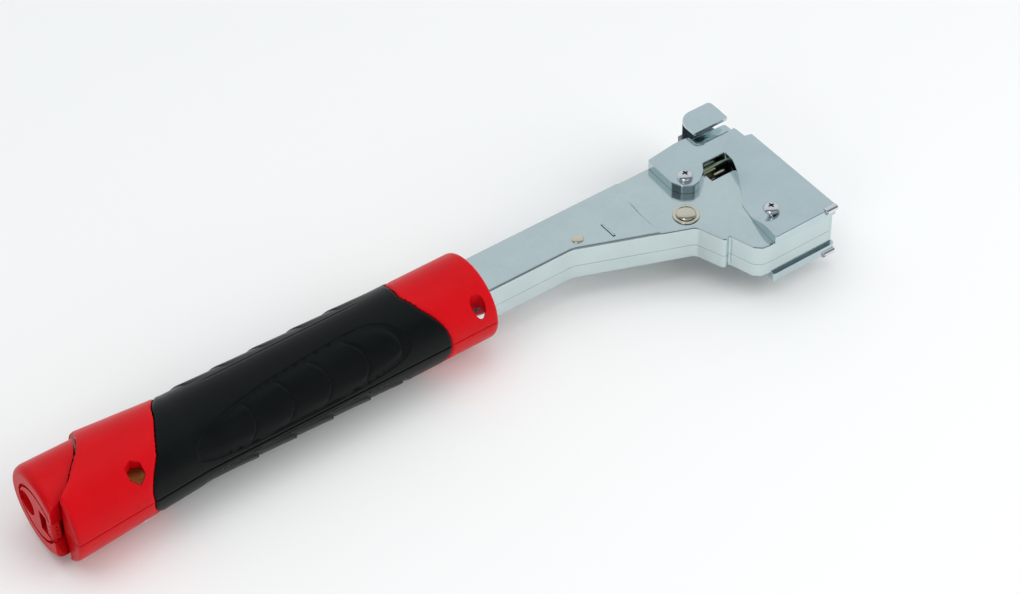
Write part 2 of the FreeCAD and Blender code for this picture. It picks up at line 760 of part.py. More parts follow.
# a screw down through the collar into a blind hole in the lower half
collar_x, collar_y = s.collar_bolt_x, s.collar_bolt_y
collar_seat = mid + s.collar_bolt_reach
collar_head_end = collar_seat + s.bolt_head_thick
collar_tip = mid - s.collar_screw_tip
bolt_room += [
    stem("collar_bore", collar_x, collar_y, collar_tip - socket_ease, far_above, s.bolt_radius + socket_ease),
    stem("collar_head_room", collar_x, collar_y, collar_seat, far_above, s.bolt_head + socket_ease),
]
collar_screw = cut(
    "collar_screw",
    join("collar_screw_blank",
         stem("collar_shank", collar_x, collar_y, collar_tip, collar_seat, s.bolt_radius),
         stem("collar_head", collar_x, collar_y, collar_seat, collar_head_end, s.bolt_head)),
    place_hexagon("collar_socket", collar_x, collar_y, collar_head_end + over - s.bolt_head_thick,
                  s.socket_radius, s.bolt_head_thick),
)
node(group("bolt_set", cap_bolt, collar_screw), "handle_bolts")

core_form = cut("core_form", join("core_whole", cut("core_ends", handle_form, grip_zone), grip_form),
                tunnel, cap_notch, pin_room, *bolt_room)
rubber_form = cut("rubber_form", common("rubber_zone", handle_form, grip_zone), grip_form, tunnel, *bolt_room)
span = ((s.cap_end_x - 5, s.collar_x + 5), (s.handle_y - clear_of_all, s.handle_y + clear_of_all))
upper_room = block("upper_room", *span, (mid + half_gap, mid + clear_of_all))
lower_room = block("lower_room", *span, (mid - clear_of_all, mid - half_gap))
node(common("core_above", core_form, upper_room), "handle_core_upper")
node(common("core_below", core_form, lower_room), "handle_core_lower")
node(common("rubber_above", rubber_form, upper_room), "grip_upper")
node(common("rubber_below", rubber_form, lower_room), "grip_lower")

# ---- red knob on the loader, shaped to fill the notch of the cap, with its release catch
knob_form = loft(
    "knob_form",
    (s.butt_x, s.knob_y_half - 2.0, s.knob_z_half - 2.0),
    (s.butt_x + 1.6, s.knob_y_half - 0.3, s.knob_z_half - 0.3),
    (s.butt_x + 26, s.knob_y_half, s.knob_z_half),
)
clear = 0.6
knob_line = [(x - clear * 0.8, y + clear * 0.8) for x, y in cap_cut_line]
knob_line[-1] = (s.knob_front_x, s.handle_y + 26)
knob_line[-2] = (s.knob_front_x, s.handle_y + 14.3)
knob_zone = prism("knob_zone", knob_line + [(s.cap_end_x - 7, s.handle_y + 26)], *tall)
catch_slot = prism(
    "catch_slot",
    [
        (s.catch_pin_x + 2.4, s.catch_pin_y + 2.3),
        (s.catch_pin_x - 2.2, s.catch_pin_y + 2.7),
        (s.catch_pin_x - 10.4, s.catch_pin_y - 1.6),
        (s.catch_pin_x - 10.4, s.catch_pin_y - 9.7),
        (s.catch_pin_x - 3.4, s.catch_pin_y - 9.7),
        (s.catch_pin_x - 1.0, s.catch_pin_y - 4.2),
        (s.catch_pin_x + 2.4, s.catch_pin_y - 2.4),
    ],
    mid - s.catch_half - 0.4, mid + s.catch_half + 0.4,
)
small_pins = {
    "catch_pin": (s.catch_pin_x, s.catch_pin_y, mid - s.small_pin_half),
    "rail_pin": (s.rail_pin_x, s.rail_pin_y, mid - s.small_pin_half),
}
rail_socket = block("rail_socket", (s.rail_tail_x, s.rail_tail_x + 20), (s.rail_low_y, s.rail_high_y),
                    (mid - s.rail_half, mid + s.rail_half))
knob = cut(
    "knob_cut",
    common("knob_blank", knob_form, knob_zone),
    catch_slot,
    rail_socket,
    rod("knob_finger_hole", (s.butt_x - over, s.handle_y + 6, mid), s.finger_radius, s.finger_depth + over,
        "x"),
    *[rod(name + "_socket", foot, s.small_pin, s.small_pin_half * 2) for name, foot in small_pins.items()],
)
node(knob, "loader_knob")
node(
    group("loader_pin_set",
          *[rod(name, foot, s.small_pin, s.small_pin_half * 2) for name, foot in small_pins.items()]),
    "loader_pins",
)
catch = cut(
    "catch_cut",
    prism(
        "catch_stock",
        [
            (s.catch_pin_x + 1.9, s.catch_pin_y + 1.6),
            (s.catch_pin_x - 1.9, s.catch_pin_y + 2.0),
            (s.catch_pin_x - 7.0, s.catch_pin_y - 3.4),
            (s.catch_pin_x - 7.3, s.catch_pin_y - 7.8),
            (s.catch_pin_x - 4.0, s.catch_pin_y - 7.8),
            (s.catch_pin_x - 1.6, s.catch_pin_y - 3.6),
            (s.catch_pin_x + 1.9, s.catch_pin_y - 1.8),
        ],
        mid - s.catch_half, mid + s.catch_half,
    ),
    rod("catch_bore", (s.catch_pin_x, s.catch_pin_y, mid - s.catch_half - over), s.small_pin + half_gap,
        (s.catch_half + over) * 2),
)
node(catch, "release_catch")

# ---- check every object, then write each piece
doc.recompute()
for thing in doc.Objects:
    if "Invalid" in thing.State or "Error" in thing.State:
        raise RuntimeError("%s failed: %s" % (thing.Name, thing.State))
for thing in nodes:
    shape = thing.Shape
    if shape.isNull() or not shape.isValid() or not shape.Solids:
        raise RuntimeError("%s has no valid solid" % thing.Label)
box = FreeCAD.BoundBox()
for thing in nodes:
    thing.Shape.exportStep("parts/%s.step" % thing.Label)
    box.add(thing.Shape.BoundBox)
    print("%-20s %2d solids %9.0f mm3" % (thing.Label, len(thing.Shape.Solids), thing.Shape.Volume))
print("whole tool", box)
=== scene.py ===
import bpy
import math
from mathutils import Matrix, Vector


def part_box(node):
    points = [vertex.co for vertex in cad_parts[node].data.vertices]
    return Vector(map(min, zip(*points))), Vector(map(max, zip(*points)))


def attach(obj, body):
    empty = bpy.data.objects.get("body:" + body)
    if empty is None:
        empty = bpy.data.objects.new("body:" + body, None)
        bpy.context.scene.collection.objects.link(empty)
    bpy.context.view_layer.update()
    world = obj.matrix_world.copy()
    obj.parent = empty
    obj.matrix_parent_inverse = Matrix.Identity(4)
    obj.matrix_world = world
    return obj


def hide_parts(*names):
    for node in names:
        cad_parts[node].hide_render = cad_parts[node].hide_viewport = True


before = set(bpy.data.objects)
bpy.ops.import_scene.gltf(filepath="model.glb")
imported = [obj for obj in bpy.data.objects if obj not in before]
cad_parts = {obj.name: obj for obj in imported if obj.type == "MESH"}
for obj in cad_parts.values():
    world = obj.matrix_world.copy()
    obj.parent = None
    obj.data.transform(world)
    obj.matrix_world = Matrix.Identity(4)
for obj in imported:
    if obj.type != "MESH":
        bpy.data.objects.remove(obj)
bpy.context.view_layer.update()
mm = 0.001
print("frame loaded")

# where things are, read from the frame
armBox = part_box("arm_shell_upper")
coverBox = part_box("head_cover_upper")
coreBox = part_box("handle_core_upper")
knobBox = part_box("loader_knob")
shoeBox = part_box("nose_shoe")
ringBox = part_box("rivet_rings")
midZ = (shoeBox[0].z + shoeBox[1].z) / 2
plateZ = armBox[1].z


# modelling helpers

def leaveEdit():
    bpy.ops.object.mode_set(mode="OBJECT")


def clearSelection():
    if bpy.context.object and bpy.context.object.mode != "OBJECT":
        leaveEdit()
    bpy.ops.object.select_all(action="DESELECT")


def onlySelect(piece):
    clearSelection()
    piece.select_set(True)
    bpy.context.view_layer.objects.active = piece


def selectAll():
    bpy.ops.mesh.select_all(action="SELECT")


def enterEdit(piece):
    onlySelect(piece)
    bpy.ops.object.mode_set(mode="EDIT")
    selectAll()


def faceOutwards():
    bpy.ops.mesh.normals_make_consistent(inside=False)


def nameLast(name):
    piece = bpy.context.object
    piece.name = name
    piece.data.name = name
    return piece


def applyPlace(piece):
    onlySelect(piece)
    bpy.ops.object.transform_apply(location=True, rotation=True, scale=True)


def addModifier(piece, kind, **values):
    onlySelect(piece)
    modifier = piece.modifiers.new(kind.lower(), kind)
    for key, value in values.items():
        setattr(modifier, key, value)
    bpy.ops.object.modifier_apply(modifier=modifier.name)
    return piece


def cutWith(piece, *cutters):
    for cutter in cutters:
        addModifier(piece, "BOOLEAN", operation="DIFFERENCE", solver="EXACT", object=cutter)
        bpy.data.objects.remove(cutter)
    return piece


def keepInside(piece, cutter):
    addModifier(piece, "BOOLEAN", operation="INTERSECT", solver="EXACT", object=cutter)
    bpy.data.objects.remove(cutter)
    return piece


def joinWith(piece, *others):
    onlySelect(piece)
    for other in others:
        other.select_set(True)
    bpy.ops.object.join()
    return piece


def pickParts(piece, kind, test):
    # leaves the piece in edit mode with the faces or edges that pass the test selected
    onlySelect(piece)
    bpy.ops.object.mode_set(mode="EDIT")
    bpy.ops.mesh.select_mode(type=kind)
    bpy.ops.mesh.select_all(action="DESELECT")
    leaveEdit()
    if kind == "FACE":
        for face in piece.data.polygons:
            face.select = test(face.center, face.normal)
    else:
        corners = piece.data.vertices
        for edge in piece.data.edges:
            edge.select = test(*(corners[index].co for index in edge.vertices))
    bpy.ops.object.mode_set(mode="EDIT")


def drawLine(name, points):
    # one vertex pulled along the points
    clearSelection()
    bpy.ops.mesh.primitive_plane_add(size=mm)
    piece = nameLast(name)
    bpy.ops.object.mode_set(mode="EDIT")
    bpy.ops.mesh.select_mode(type="VERT")
    selectAll()
    bpy.ops.mesh.merge(type="CENTER")
    bpy.ops.transform.translate(value=points[0])
    for start, end in zip(points, points[1:]):
        step = Vector(end) - Vector(start)
        bpy.ops.mesh.extrude_region_move(TRANSFORM_OT_translate={"value": step})
    return piece


def padOutline(name, points, low, high):
    # an outline in the XY plane, closed, filled and pulled up
    piece = drawLine(name, [(x, y, low) for x, y in points])
    selectAll()
    bpy.ops.mesh.edge_face_add()
    bpy.ops.mesh.extrude_region_move(TRANSFORM_OT_translate={"value": (0, 0, high - low)})
    selectAll()
    faceOutwards()
    leaveEdit()
    return piece


def roundCorner(before, corner, after, radius, steps=5):
    # an arc that takes the corner off an outline
    a = (Vector(before) - Vector(corner)).normalized()
    b = (Vector(after) - Vector(corner)).normalized()
    half = a.angle(b) / 2
    reach = radius / math.tan(half)
    middle = Vector(corner) + (a + b).normalized() * (radius / math.sin(half))
    start = Vector(corner) + a * reach
    end = Vector(corner) + b * reach
    arc = []
    for i in range(steps + 1):
        ray = (start - middle).lerp(end - middle, i / steps).normalized()
        arc.append(tuple(middle + ray * radius))
    return arc


def roundOutline(points, steps=5):
    # points are (x, y) or (x, y, radius)
    outline = []
    count = len(points)
    for i, point in enumerate(points):
        if len(point) == 3 and point[2] > 0:
            before = points[i - 1][:2]
            after = points[(i + 1) % count][:2]
            outline += roundCorner(before, point[:2], after, point[2], steps)
        else:
            outline.append(tuple(point[:2]))
    return outline


def ovalBar(name, rows, centre, steps=128):
    # rows are (x, half width, half height); the oval is pulled from one to the next
    clearSelection()
    x, wide, high = rows[0]
    bpy.ops.mesh.primitive_circle_add(vertices=steps, radius=1, fill_type="NGON",
                                      location=(x, centre[0], centre[1]), rotation=(0, math.pi / 2, 0))
    piece = nameLast(name)
    applyPlace(piece)
    enterEdit(piece)
    middle = (x, centre[0], centre[1])
    bpy.ops.transform.resize(value=(1, wide, high), center_override=middle)
    for nextX, nextWide, nextHigh in rows[1:]:
        bpy.ops.mesh.extrude_region_move(TRANSFORM_OT_translate={"value": (nextX - x, 0, 0)})
        middle = (nextX, centre[0], centre[1])
        bpy.ops.transform.resize(value=(1, nextWide / wide, nextHigh / high), center_override=middle)
        x, wide, high = nextX, nextWide, nextHigh
    selectAll()
    faceOutwards()
    leaveEdit()
    return piece


def addBox(name, low, high):
    clearSelection()
    middle = [(a + b) / 2 for a, b in zip(low, high)]
    size = [abs(b - a) for a, b in zip(low, high)]
    bpy.ops.mesh.primitive_cube_add(size=1, location=middle, scale=size)
    piece = nameLast(name)
    applyPlace(piece)
    return piece


def addRod(name, start, end, radius, steps=48):
    clearSelection()
    start, end = Vector(start), Vector(end)
    turn = (end - start).to_track_quat("Z", "Y").to_euler()
    bpy.ops.mesh.primitive_cylinder_add(vertices=steps, radius=radius, depth=(end - start).length,
                                        location=(start + end) / 2, rotation=turn)
    piece = nameLast(name)
    applyPlace(piece)
    return piece


def lathe(name, profile, centre, steps=48):
    # profile is (radius, height) from the middle outwards, spun about an upright axis
    piece = drawLine(name, [(centre[0] + r, centre[1], centre[2] + h) for r, h in profile])
    selectAll()
    bpy.ops.mesh.spin(steps=steps, angle=2 * math.pi, center=centre, axis=(0, 0, 1))
    selectAll()
    bpy.ops.mesh.remove_doubles(threshold=0.01 * mm)
    faceOutwards()
    leaveEdit()
    return piece


def softenEdges(piece, width, segments=3, angle=35):
    addModifier(piece, "BEVEL", width=width, segments=segments, limit_method="ANGLE",
                angle_limit=math.radians(angle), use_clamp_overlap=True, miter_outer="MITER_ARC")
    return piece


def mirrorDown(piece, name):
    # a copy on the other side of the mid plane
    onlySelect(piece)
    bpy.ops.object.duplicate()
    twin = nameLast(name)
    enterEdit(twin)
    bpy.ops.transform.resize(value=(1, 1, -1), center_override=(0, 0, midZ))
    faceOutwards()
    leaveEdit()
    return twin


def bothSides(piece, name):
    # the piece joined to its twin on the other side of the mid plane
    joinWith(piece, mirrorDown(piece, name + "Below"))
    piece.name = name
    return piece


def finishPiece(piece, body, material, replaced=(), angle=35):
    onlySelect(piece)
    piece.data.materials.clear()
    piece.data.materials.append(material)
    bpy.ops.object.shade_smooth_by_angle(angle=math.radians(angle))
    addModifier(piece, "WEIGHTED_NORMAL", keep_sharp=True)
    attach(piece, body)
    if replaced:
        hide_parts(*replaced)
    return piece


def finishPair(pair, material, nodeStem, angle):
    # upper and lower halves that ride on the frame
    for half, side in zip(pair, ("_upper", "_lower")):
        finishPiece(half, "frame", material, [nodeStem + side], angle)


def metres(points):
    return [tuple(value * mm for value in point) for point in points]


def lineDistance(x, y, line):
    # how far a place in plan is from an open line
    best = math.inf
    for (ax, ay), (bx, by) in zip(line, line[1:]):
        dx, dy = bx - ax, by - ay
        share = ((x - ax) * dx + (y - ay) * dy) / (dx * dx + dy * dy)
        share = min(max(share, 0.0), 1.0)
        best = min(best, math.hypot(x - ax - share * dx, y - ay - share * dy))
    return best


def smooth(value):
    value = min(max(value, 0.0), 1.0)
    return value * value * (3 - 2 * value)


def pushSurface(piece, amount, outward=True, direction="NORMAL"):
    # moves each point by amount(place), weighted through a vertex group
    amounts = [max(amount(v.co), 0.0) for v in piece.data.vertices]
    most = max(amounts)
    if most == 0:
        return piece
    group = piece.vertex_groups.new(name="push")
    for index, value in enumerate(amounts):
        if value > 0:
            group.add([index], value / most, "REPLACE")
    addModifier(piece, "DISPLACE", direction=direction, mid_level=0.0, vertex_group=group.name,
                strength=most if outward else -most)
    piece.vertex_groups.clear()
    return piece


def gridCuts(piece, axis, places):
    # runs straight cuts through the whole piece, so that a flat face can be shaped
    enterEdit(piece)
    normal = [0, 0, 0]
    normal[axis] = 1
    for place in places:
        spot = [0, 0, 0]
        spot[axis] = place
        selectAll()
        bpy.ops.mesh.bisect(plane_co=spot, plane_no=normal)
    leaveEdit()
    return piece


def steps(low, high, size):
    count = max(int(round((high - low) / size)), 1)
    return [low + (high - low) * i / count for i in range(1, count)]


def keepAbove(piece, height):
    # cuts the piece level and closes it
    enterEdit(piece)
    bpy.ops.mesh.bisect(plane_co=(0, 0, height), plane_no=(0, 0, 1), use_fill=True, clear_inner=True)
    leaveEdit()
    return piece


# finishes: shared effects as node groups, then one material for each finish

def newGroup(name, inputs, outputs):
    group = bpy.data.node_groups.new(name, "ShaderNodeTree")
    for socketName, value in inputs.items():
        socket = group.interface.new_socket(socketName, in_out="INPUT", socket_type="NodeSocketFloat")
        socket.default_value = value
    for socketName in outputs:
        group.interface.new_socket(socketName, in_out="OUTPUT", socket_type="NodeSocketFloat")
    return group, group.nodes.new("NodeGroupInput"), group.nodes.new("NodeGroupOutput")


def addNode(tree, kind, **values):
    node = tree.nodes.new(kind)
    for key, value in values.items():
        if hasattr(node, key):
            setattr(node, key, value)
        else:
            node.inputs[key].default_value = value
    return node


def mapRange(tree, source, low, high):
    # eases from 0 at low to 1 at high
    node = tree.nodes.new("ShaderNodeMapRange")
    node.interpolation_type = "SMOOTHSTEP"
    node.inputs["From Min"].default_value = low
    node.inputs["From Max"].default_value = high
    tree.links.new(source, node.inputs["Value"])
    return node.outputs["Result"]


def combine(tree, operation, first, second):
    node = tree.nodes.new("ShaderNodeMath")
    node.operation = operation
    for socket, value in zip(node.inputs, (first, second)):
        if isinstance(value, (int, float)):
            socket.default_value = value
        else:
            tree.links.new(value, socket)
    return node.outputs[0]


def makeMottle():
    # cloudy patches, as on a plated or moulded surface
    group, into, out = newGroup("mottle", {"Scale": 60.0, "Contrast": 0.2}, ["Mask"])
    place = group.nodes.new("ShaderNodeTexCoord")
    noise = addNode(group, "ShaderNodeTexNoise", Detail=5.0, Roughness=0.6, Distortion=0.4)
    group.links.new(place.outputs["Object"], noise.inputs["Vector"])
    group.links.new(into.outputs["Scale"], noise.inputs["Scale"])
    centred = combine(group, "SUBTRACT", noise.outputs["Fac"], 0.5)
    spread = combine(group, "MULTIPLY", centred, into.outputs["Contrast"])
    level = combine(group, "ADD", combine(group, "MULTIPLY", spread, 4.0), 0.5)
    group.links.new(level, out.inputs["Mask"])
    return group


def makeGrain():
    # fine even grain for bump and roughness
    group, into, out = newGroup("grain", {"Scale": 2500.0}, ["Height"])
    place = group.nodes.new("ShaderNodeTexCoord")
    fine = addNode(group, "ShaderNodeTexNoise", Detail=3.0, Roughness=0.5)
    cells = addNode(group, "ShaderNodeTexVoronoi")
    for texture in (fine, cells):
        group.links.new(place.outputs["Object"], texture.inputs["Vector"])
        group.links.new(into.outputs["Scale"], texture.inputs["Scale"])
    height = combine(group, "ADD", combine(group, "MULTIPLY", fine.outputs["Fac"], 0.7),
                     combine(group, "MULTIPLY", cells.outputs["Distance"], 0.3))
    group.links.new(height, out.inputs["Height"])
    return group


def makeBrushing():
    # long fine lines left by rolling, with a few crossing handling scratches
    group, into, out = newGroup("brushing", {"Fineness": 9000.0, "Scratches": 0.5}, ["Lines", "Scratch"])
    place = group.nodes.new("ShaderNodeTexCoord")
    stretch = addNode(group, "ShaderNodeMapping")
    stretch.inputs["Scale"].default_value = (0.02, 1.0, 1.0)
    lines = addNode(group, "ShaderNodeTexNoise", Detail=2.0)
    group.links.new(place.outputs["Object"], stretch.inputs["Vector"])
    group.links.new(stretch.outputs["Vector"], lines.inputs["Vector"])
    group.links.new(into.outputs["Fineness"], lines.inputs["Scale"])
    group.links.new(lines.outputs["Fac"], out.inputs["Lines"])
    marks = None
    for turn, size in ((0.5, 420.0), (-0.9, 330.0), (1.4, 260.0)):
        mapping = addNode(group, "ShaderNodeMapping")
        mapping.inputs["Rotation"].default_value = (0.0, 0.0, turn)
        mapping.inputs["Scale"].default_value = (0.05, 1.0, 1.0)
        noise = addNode(group, "ShaderNodeTexNoise", Scale=size, Detail=1.0)
        group.links.new(place.outputs["Object"], mapping.inputs["Vector"])
        group.links.new(mapping.outputs["Vector"], noise.inputs["Vector"])
        thin = mapRange(group, noise.outputs["Fac"], 0.69, 0.72)
        marks = thin if marks is None else combine(group, "MAXIMUM", marks, thin)
    group.links.new(combine(group, "MULTIPLY", marks, into.outputs["Scratches"]), out.inputs["Scratch"])
    return group


def makeDust():
    # pale specks that settle on upward faces
    group, into, out = newGroup("dust", {"Amount": 0.1, "Scale": 1500.0}, ["Mask"])
    place = group.nodes.new("ShaderNodeTexCoord")
    geometry = group.nodes.new("ShaderNodeNewGeometry")
    split = group.nodes.new("ShaderNodeSeparateXYZ")
    group.links.new(geometry.outputs["Normal"], split.inputs[0])
    noise = addNode(group, "ShaderNodeTexNoise", Detail=4.0, Roughness=0.7)
    group.links.new(place.outputs["Object"], noise.inputs["Vector"])
    group.links.new(into.outputs["Scale"], noise.inputs["Scale"])
    specks = mapRange(group, noise.outputs["Fac"], 0.58, 0.72)
    upward = mapRange(group, split.outputs["Z"], 0.2, 1.0)
    mask = combine(group, "MULTIPLY", combine(group, "MULTIPLY", specks, upward), into.outputs["Amount"])
    group.links.new(mask, out.inputs["Mask"])
    return group


mottleGroup = makeMottle()
grainGroup = makeGrain()
brushingGroup = makeBrushing()
dustGroup = makeDust()


def placeGroup(tree, group, **values):
    node = tree.nodes.new("ShaderNodeGroup")
    node.node_tree = group
    for key, value in values.items():
        node.inputs[key].default_value = value
    return node


def mixColour(tree, mask, first, second):
    node = tree.nodes.new("ShaderNodeMix")
    node.data_type = "RGBA"
    for socket, value in ((node.inputs[0], mask), (node.inputs[6], first), (node.inputs[7], second)):
        if isinstance(value, tuple):
            socket.default_value = (*value, 1.0)
        else:
            tree.links.new(value, socket)
    return node.outputs[2]


def startMaterial(name):
    material = bpy.data.materials.new(name)
    material.use_nodes = True
    tree = material.node_tree
    return material, tree, tree.nodes["Principled BSDF"]


def addBump(tree, shader, heights):
    # heights is a list of (socket, strength, distance)
    last = None
    for height, strength, distance in heights:
        bump = addNode(tree, "ShaderNodeBump")
        bump.inputs["Strength"].default_value = strength
        bump.inputs["Distance"].default_value = distance
        tree.links.new(height, bump.inputs["Height"])
        if last:
            tree.links.new(last, bump.inputs["Normal"])
        last = bump.outputs["Normal"]
    tree.links.new(last, shader.inputs["Normal"])


def steelFinish(name, light, dark, rough, roughSpread=0.08, brush=0.12, wobble=0.06, scratches=0.5,
                cloud=70.0):
    material, tree, shader = startMaterial(name)
    patches = placeGroup(tree, mottleGroup, Scale=cloud, Contrast=0.32)
    fine = placeGroup(tree, mottleGroup, Scale=cloud * 9, Contrast=0.25)
    brushing = placeGroup(tree, brushingGroup, Scratches=scratches)
    blend = combine(tree, "MULTIPLY", patches.outputs["Mask"], 0.65)
    blend = combine(tree, "ADD", blend, combine(tree, "MULTIPLY", fine.outputs["Mask"], 0.35))
    tree.links.new(mixColour(tree, blend, dark, light), shader.inputs["Base Color"])
    roughness = combine(tree, "ADD", combine(tree, "MULTIPLY", blend, roughSpread), rough - roughSpread / 2)
    marks = combine(tree, "MULTIPLY", brushing.outputs["Scratch"], 0.12)
    roughness = combine(tree, "ADD", roughness, marks)
    tree.links.new(roughness, shader.inputs["Roughness"])
    shader.inputs["Metallic"].default_value = 1.0
    addBump(tree, shader, [
        (patches.outputs["Mask"], wobble, 0.4 * mm),
        (brushing.outputs["Lines"], brush, 0.02 * mm),
        (brushing.outputs["Scratch"], 0.2, 0.01 * mm),
    ])
    return material


def mouldedFinish(name, colour, deep, rough, grain, grainDepth, dust, dustColour, specular=0.5, coat=0.0):
    material, tree, shader = startMaterial(name)
    patches = placeGroup(tree, mottleGroup, Scale=90.0, Contrast=0.35)
    skin = placeGroup(tree, grainGroup, Scale=grain)
    settled = placeGroup(tree, dustGroup, Amount=dust)
    body = mixColour(tree, patches.outputs["Mask"], deep, colour)
    tree.links.new(mixColour(tree, settled.outputs["Mask"], body, dustColour), shader.inputs["Base Color"])
    roughness = combine(tree, "ADD", combine(tree, "MULTIPLY", patches.outputs["Mask"], 0.1), rough - 0.05)
    roughness = combine(tree, "ADD", roughness, combine(tree, "MULTIPLY", settled.outputs["Mask"], 0.3))
    tree.links.new(roughness, shader.inputs["Roughness"])
    shader.inputs["Specular IOR Level"].default_value = specular
    shader.inputs["Coat Weight"].default_value = coat
    shader.inputs["Coat Roughness"].default_value = 0.25
    addBump(tree, shader, [
        (patches.outputs["Mask"], 0.05, 0.3 * mm),
        (skin.outputs["Height"], grainDepth, 0.05 * mm),
    ])
    return material


# the light and the dark colour of each metal, then its roughness
zincSheet = steelFinish("zincSheet", (0.66, 0.76, 0.77), (0.53, 0.62, 0.63), 0.17,
                        brush=0.03, scratches=0.12)
zincCover = steelFinish("zincCover", (0.62, 0.73, 0.75), (0.50, 0.60, 0.63), 0.17,
                        brush=0.03, scratches=0.12)
brightScrew = steelFinish("brightScrew", (0.82, 0.83, 0.85), (0.70, 0.71, 0.74), 0.12,
                          brush=0.04, wobble=0.03)
nickelRivet = steelFinish("nickelRivet", (0.80, 0.76, 0.66), (0.62, 0.57, 0.45), 0.2,
                          brush=0.05, wobble=0.05)
darkSteel = steelFinish("darkSteel", (0.34, 0.35, 0.37), (0.2, 0.2, 0.22), 0.34, scratches=1.0)
magazineSteel = steelFinish("magazineSteel", (0.66, 0.68, 0.69), (0.5, 0.52, 0.54), 0.3, scratches=1.0)
seatBrass = steelFinish("seatBrass", (0.86, 0.88, 0.66), (0.72, 0.74, 0.52), 0.3, brush=0.05, wobble=0.04)
springSteel = steelFinish("springSteel", (0.55, 0.55, 0.55), (0.36, 0.36, 0.37), 0.25, brush=0.05)
brassNut = steelFinish("brassNut", (0.34, 0.12, 0.03), (0.18, 0.06, 0.015), 0.42, brush=0.05, cloud=300.0)
redPlastic = mouldedFinish("redPlastic", (0.62, 0.002, 0.007), (0.53, 0.001, 0.004), 0.36, 2600.0, 0.10,
                           0.05, (0.70, 0.25, 0.25), specular=0.13, coat=0.02)
blackRubber = mouldedFinish("blackRubber", (0.0045, 0.0058, 0.0058), (0.0022, 0.0032, 0.0032), 0.35,
                            3400.0, 0.14, 0.04, (0.03, 0.034, 0.034), specular=0.13)
print("finishes ready")


# handle: two red mouldings bolted round the arm, each half with its rubber sleeve

handle = {
    "middleY": 14.9,
    "collarEnd": coreBox[1].x / mm,
    "capEnd": coreBox[0].x / mm,
    "capStart": -92.0,
    "wide": 17.0,
    "high": 15.5,
    "capWide": 21.1,
    "capHigh": 18.5,
    "rimRound": 1.5,
    "rubberWall": 2.6,
    "seamGap": 0.05,
    "around": 224,
    "rowStep": 0.8,
    "innerStart": 16.0,
    "padHigh": 60.0,
    "armRoomX": (-133.0, 29.0),
    "armRoomY": (5.6, 25.5),
    "armRoomHigh": 7.8,
}
gripOutline = metres([
    (-93.5, 36.0), (-93.5, 29.9), (-99.0, 20.9), (-101.2, 14.9), (-107.5, 2.9), (-113.3, -3.3),
    (-113.3, -8.0), (2.5, -8.0), (5.0, -3.3), (3.5, -0.5), (-2.0, 6.9), (-5.5, 14.9), (-4.5, 25.9),
    (1.5, 31.1), (2.0, 36.0),
])
capCutLine = metres([
    (-150.0, 2.5), (-142.5, 3.5), (-137.0, 7.5), (-130.0, 15.5), (-127.0, 21.0), (-124.5, 29.0),
    (-124.5, 40.9),
])
handleCentre = (handle["middleY"] * mm, midZ)


def handleSize(x):
    # half width and half height of the handle at a place along it, all in millimetres
    flare = max((handle["capStart"] - x) / (handle["capStart"] - handle["capEnd"]), 0.0)
    wide = handle["wide"] + flare * (handle["capWide"] - handle["wide"])
    high = handle["high"] + flare * (handle["capHigh"] - handle["high"])
    fromEnd = min(handle["collarEnd"] - x, x - handle["capEnd"])
    inward = max(handle["rimRound"] - fromEnd, 0.0)
    inset = handle["rimRound"] - math.sqrt(max(handle["rimRound"] ** 2 - inward ** 2, 0.0))
    return wide - inset, high - inset


def handleBar(name, places, grow, around):
    rows = []
    for x in places:
        wide, high = handleSize(x)
        rows.append((x * mm, (wide + grow) * mm, (high + grow) * mm))
    return ovalBar(name, rows, handleCentre, around)


def turnOf(co):
    # angle from the top of the handle, in degrees, growing towards -Y
    wide, high = handleSize(co.x / mm)
    return math.degrees(math.atan2((handleCentre[0] - co.y) / wide, (co.z - midZ) / high))


def onSkin(co, grow=0.0):
    wide, high = handleSize(co.x / mm)
    across = (co.y - handleCentre[0]) / ((wide + grow) * mm)
    upward = (co.z - midZ) / ((high + grow) * mm)
    return across * across + upward * upward > 0.985


def roundedEdge(distance, width, depth):
    # how far an edge falls away at a distance from it
    return depth * max(1 - distance / width, 0.0) ** 2


def rimPlaces(end, way):
    return [end + way * step for step in (0.0, 0.12, 0.4, 0.8, 1.5)]


def makeInnerBar(endX):
    # the plain bar that lies inside the rubber
    wide, high = ((handle[key] - handle["rubberWall"]) * mm for key in ("wide", "high"))
    rows = [(x * mm, wide, high) for x in (handle["innerStart"], endX)]
    return ovalBar("innerBar", rows, handleCentre, handle["around"])


def makeRedHalf(name):
    rowStep, top = handle["rowStep"], handle["padHigh"] * mm
    collarRows = rimPlaces(handle["collarEnd"], -1) + [21.6 - rowStep * i for i in range(37)]
    capRows = [-90.6 - rowStep * i for i in range(63)] + rimPlaces(handle["capEnd"], 1)[::-1]
    half = handleBar(name, collarRows + capRows, 0.0, handle["around"])
    keepAbove(half, midZ + handle["seamGap"] * mm)
    cutWith(half, padOutline("gripRoom", gripOutline, 0, top))
    inner = makeInnerBar(-116.0)
    keepAbove(inner, midZ + handle["seamGap"] * mm)
    addModifier(half, "BOOLEAN", operation="UNION", solver="EXACT", object=inner)
    bpy.data.objects.remove(inner)
    (x0, x1), (y0, y1) = metres([handle["armRoomX"], handle["armRoomY"]])
    armRoom = addBox("armRoom", (x0, y0, 0), (x1, y1, midZ + handle["armRoomHigh"] * mm))
    notch = padOutline("notch", capCutLine + metres([(-150.0, 40.9)]), -10 * mm, top)
    return cutWith(half, armRoom, notch)


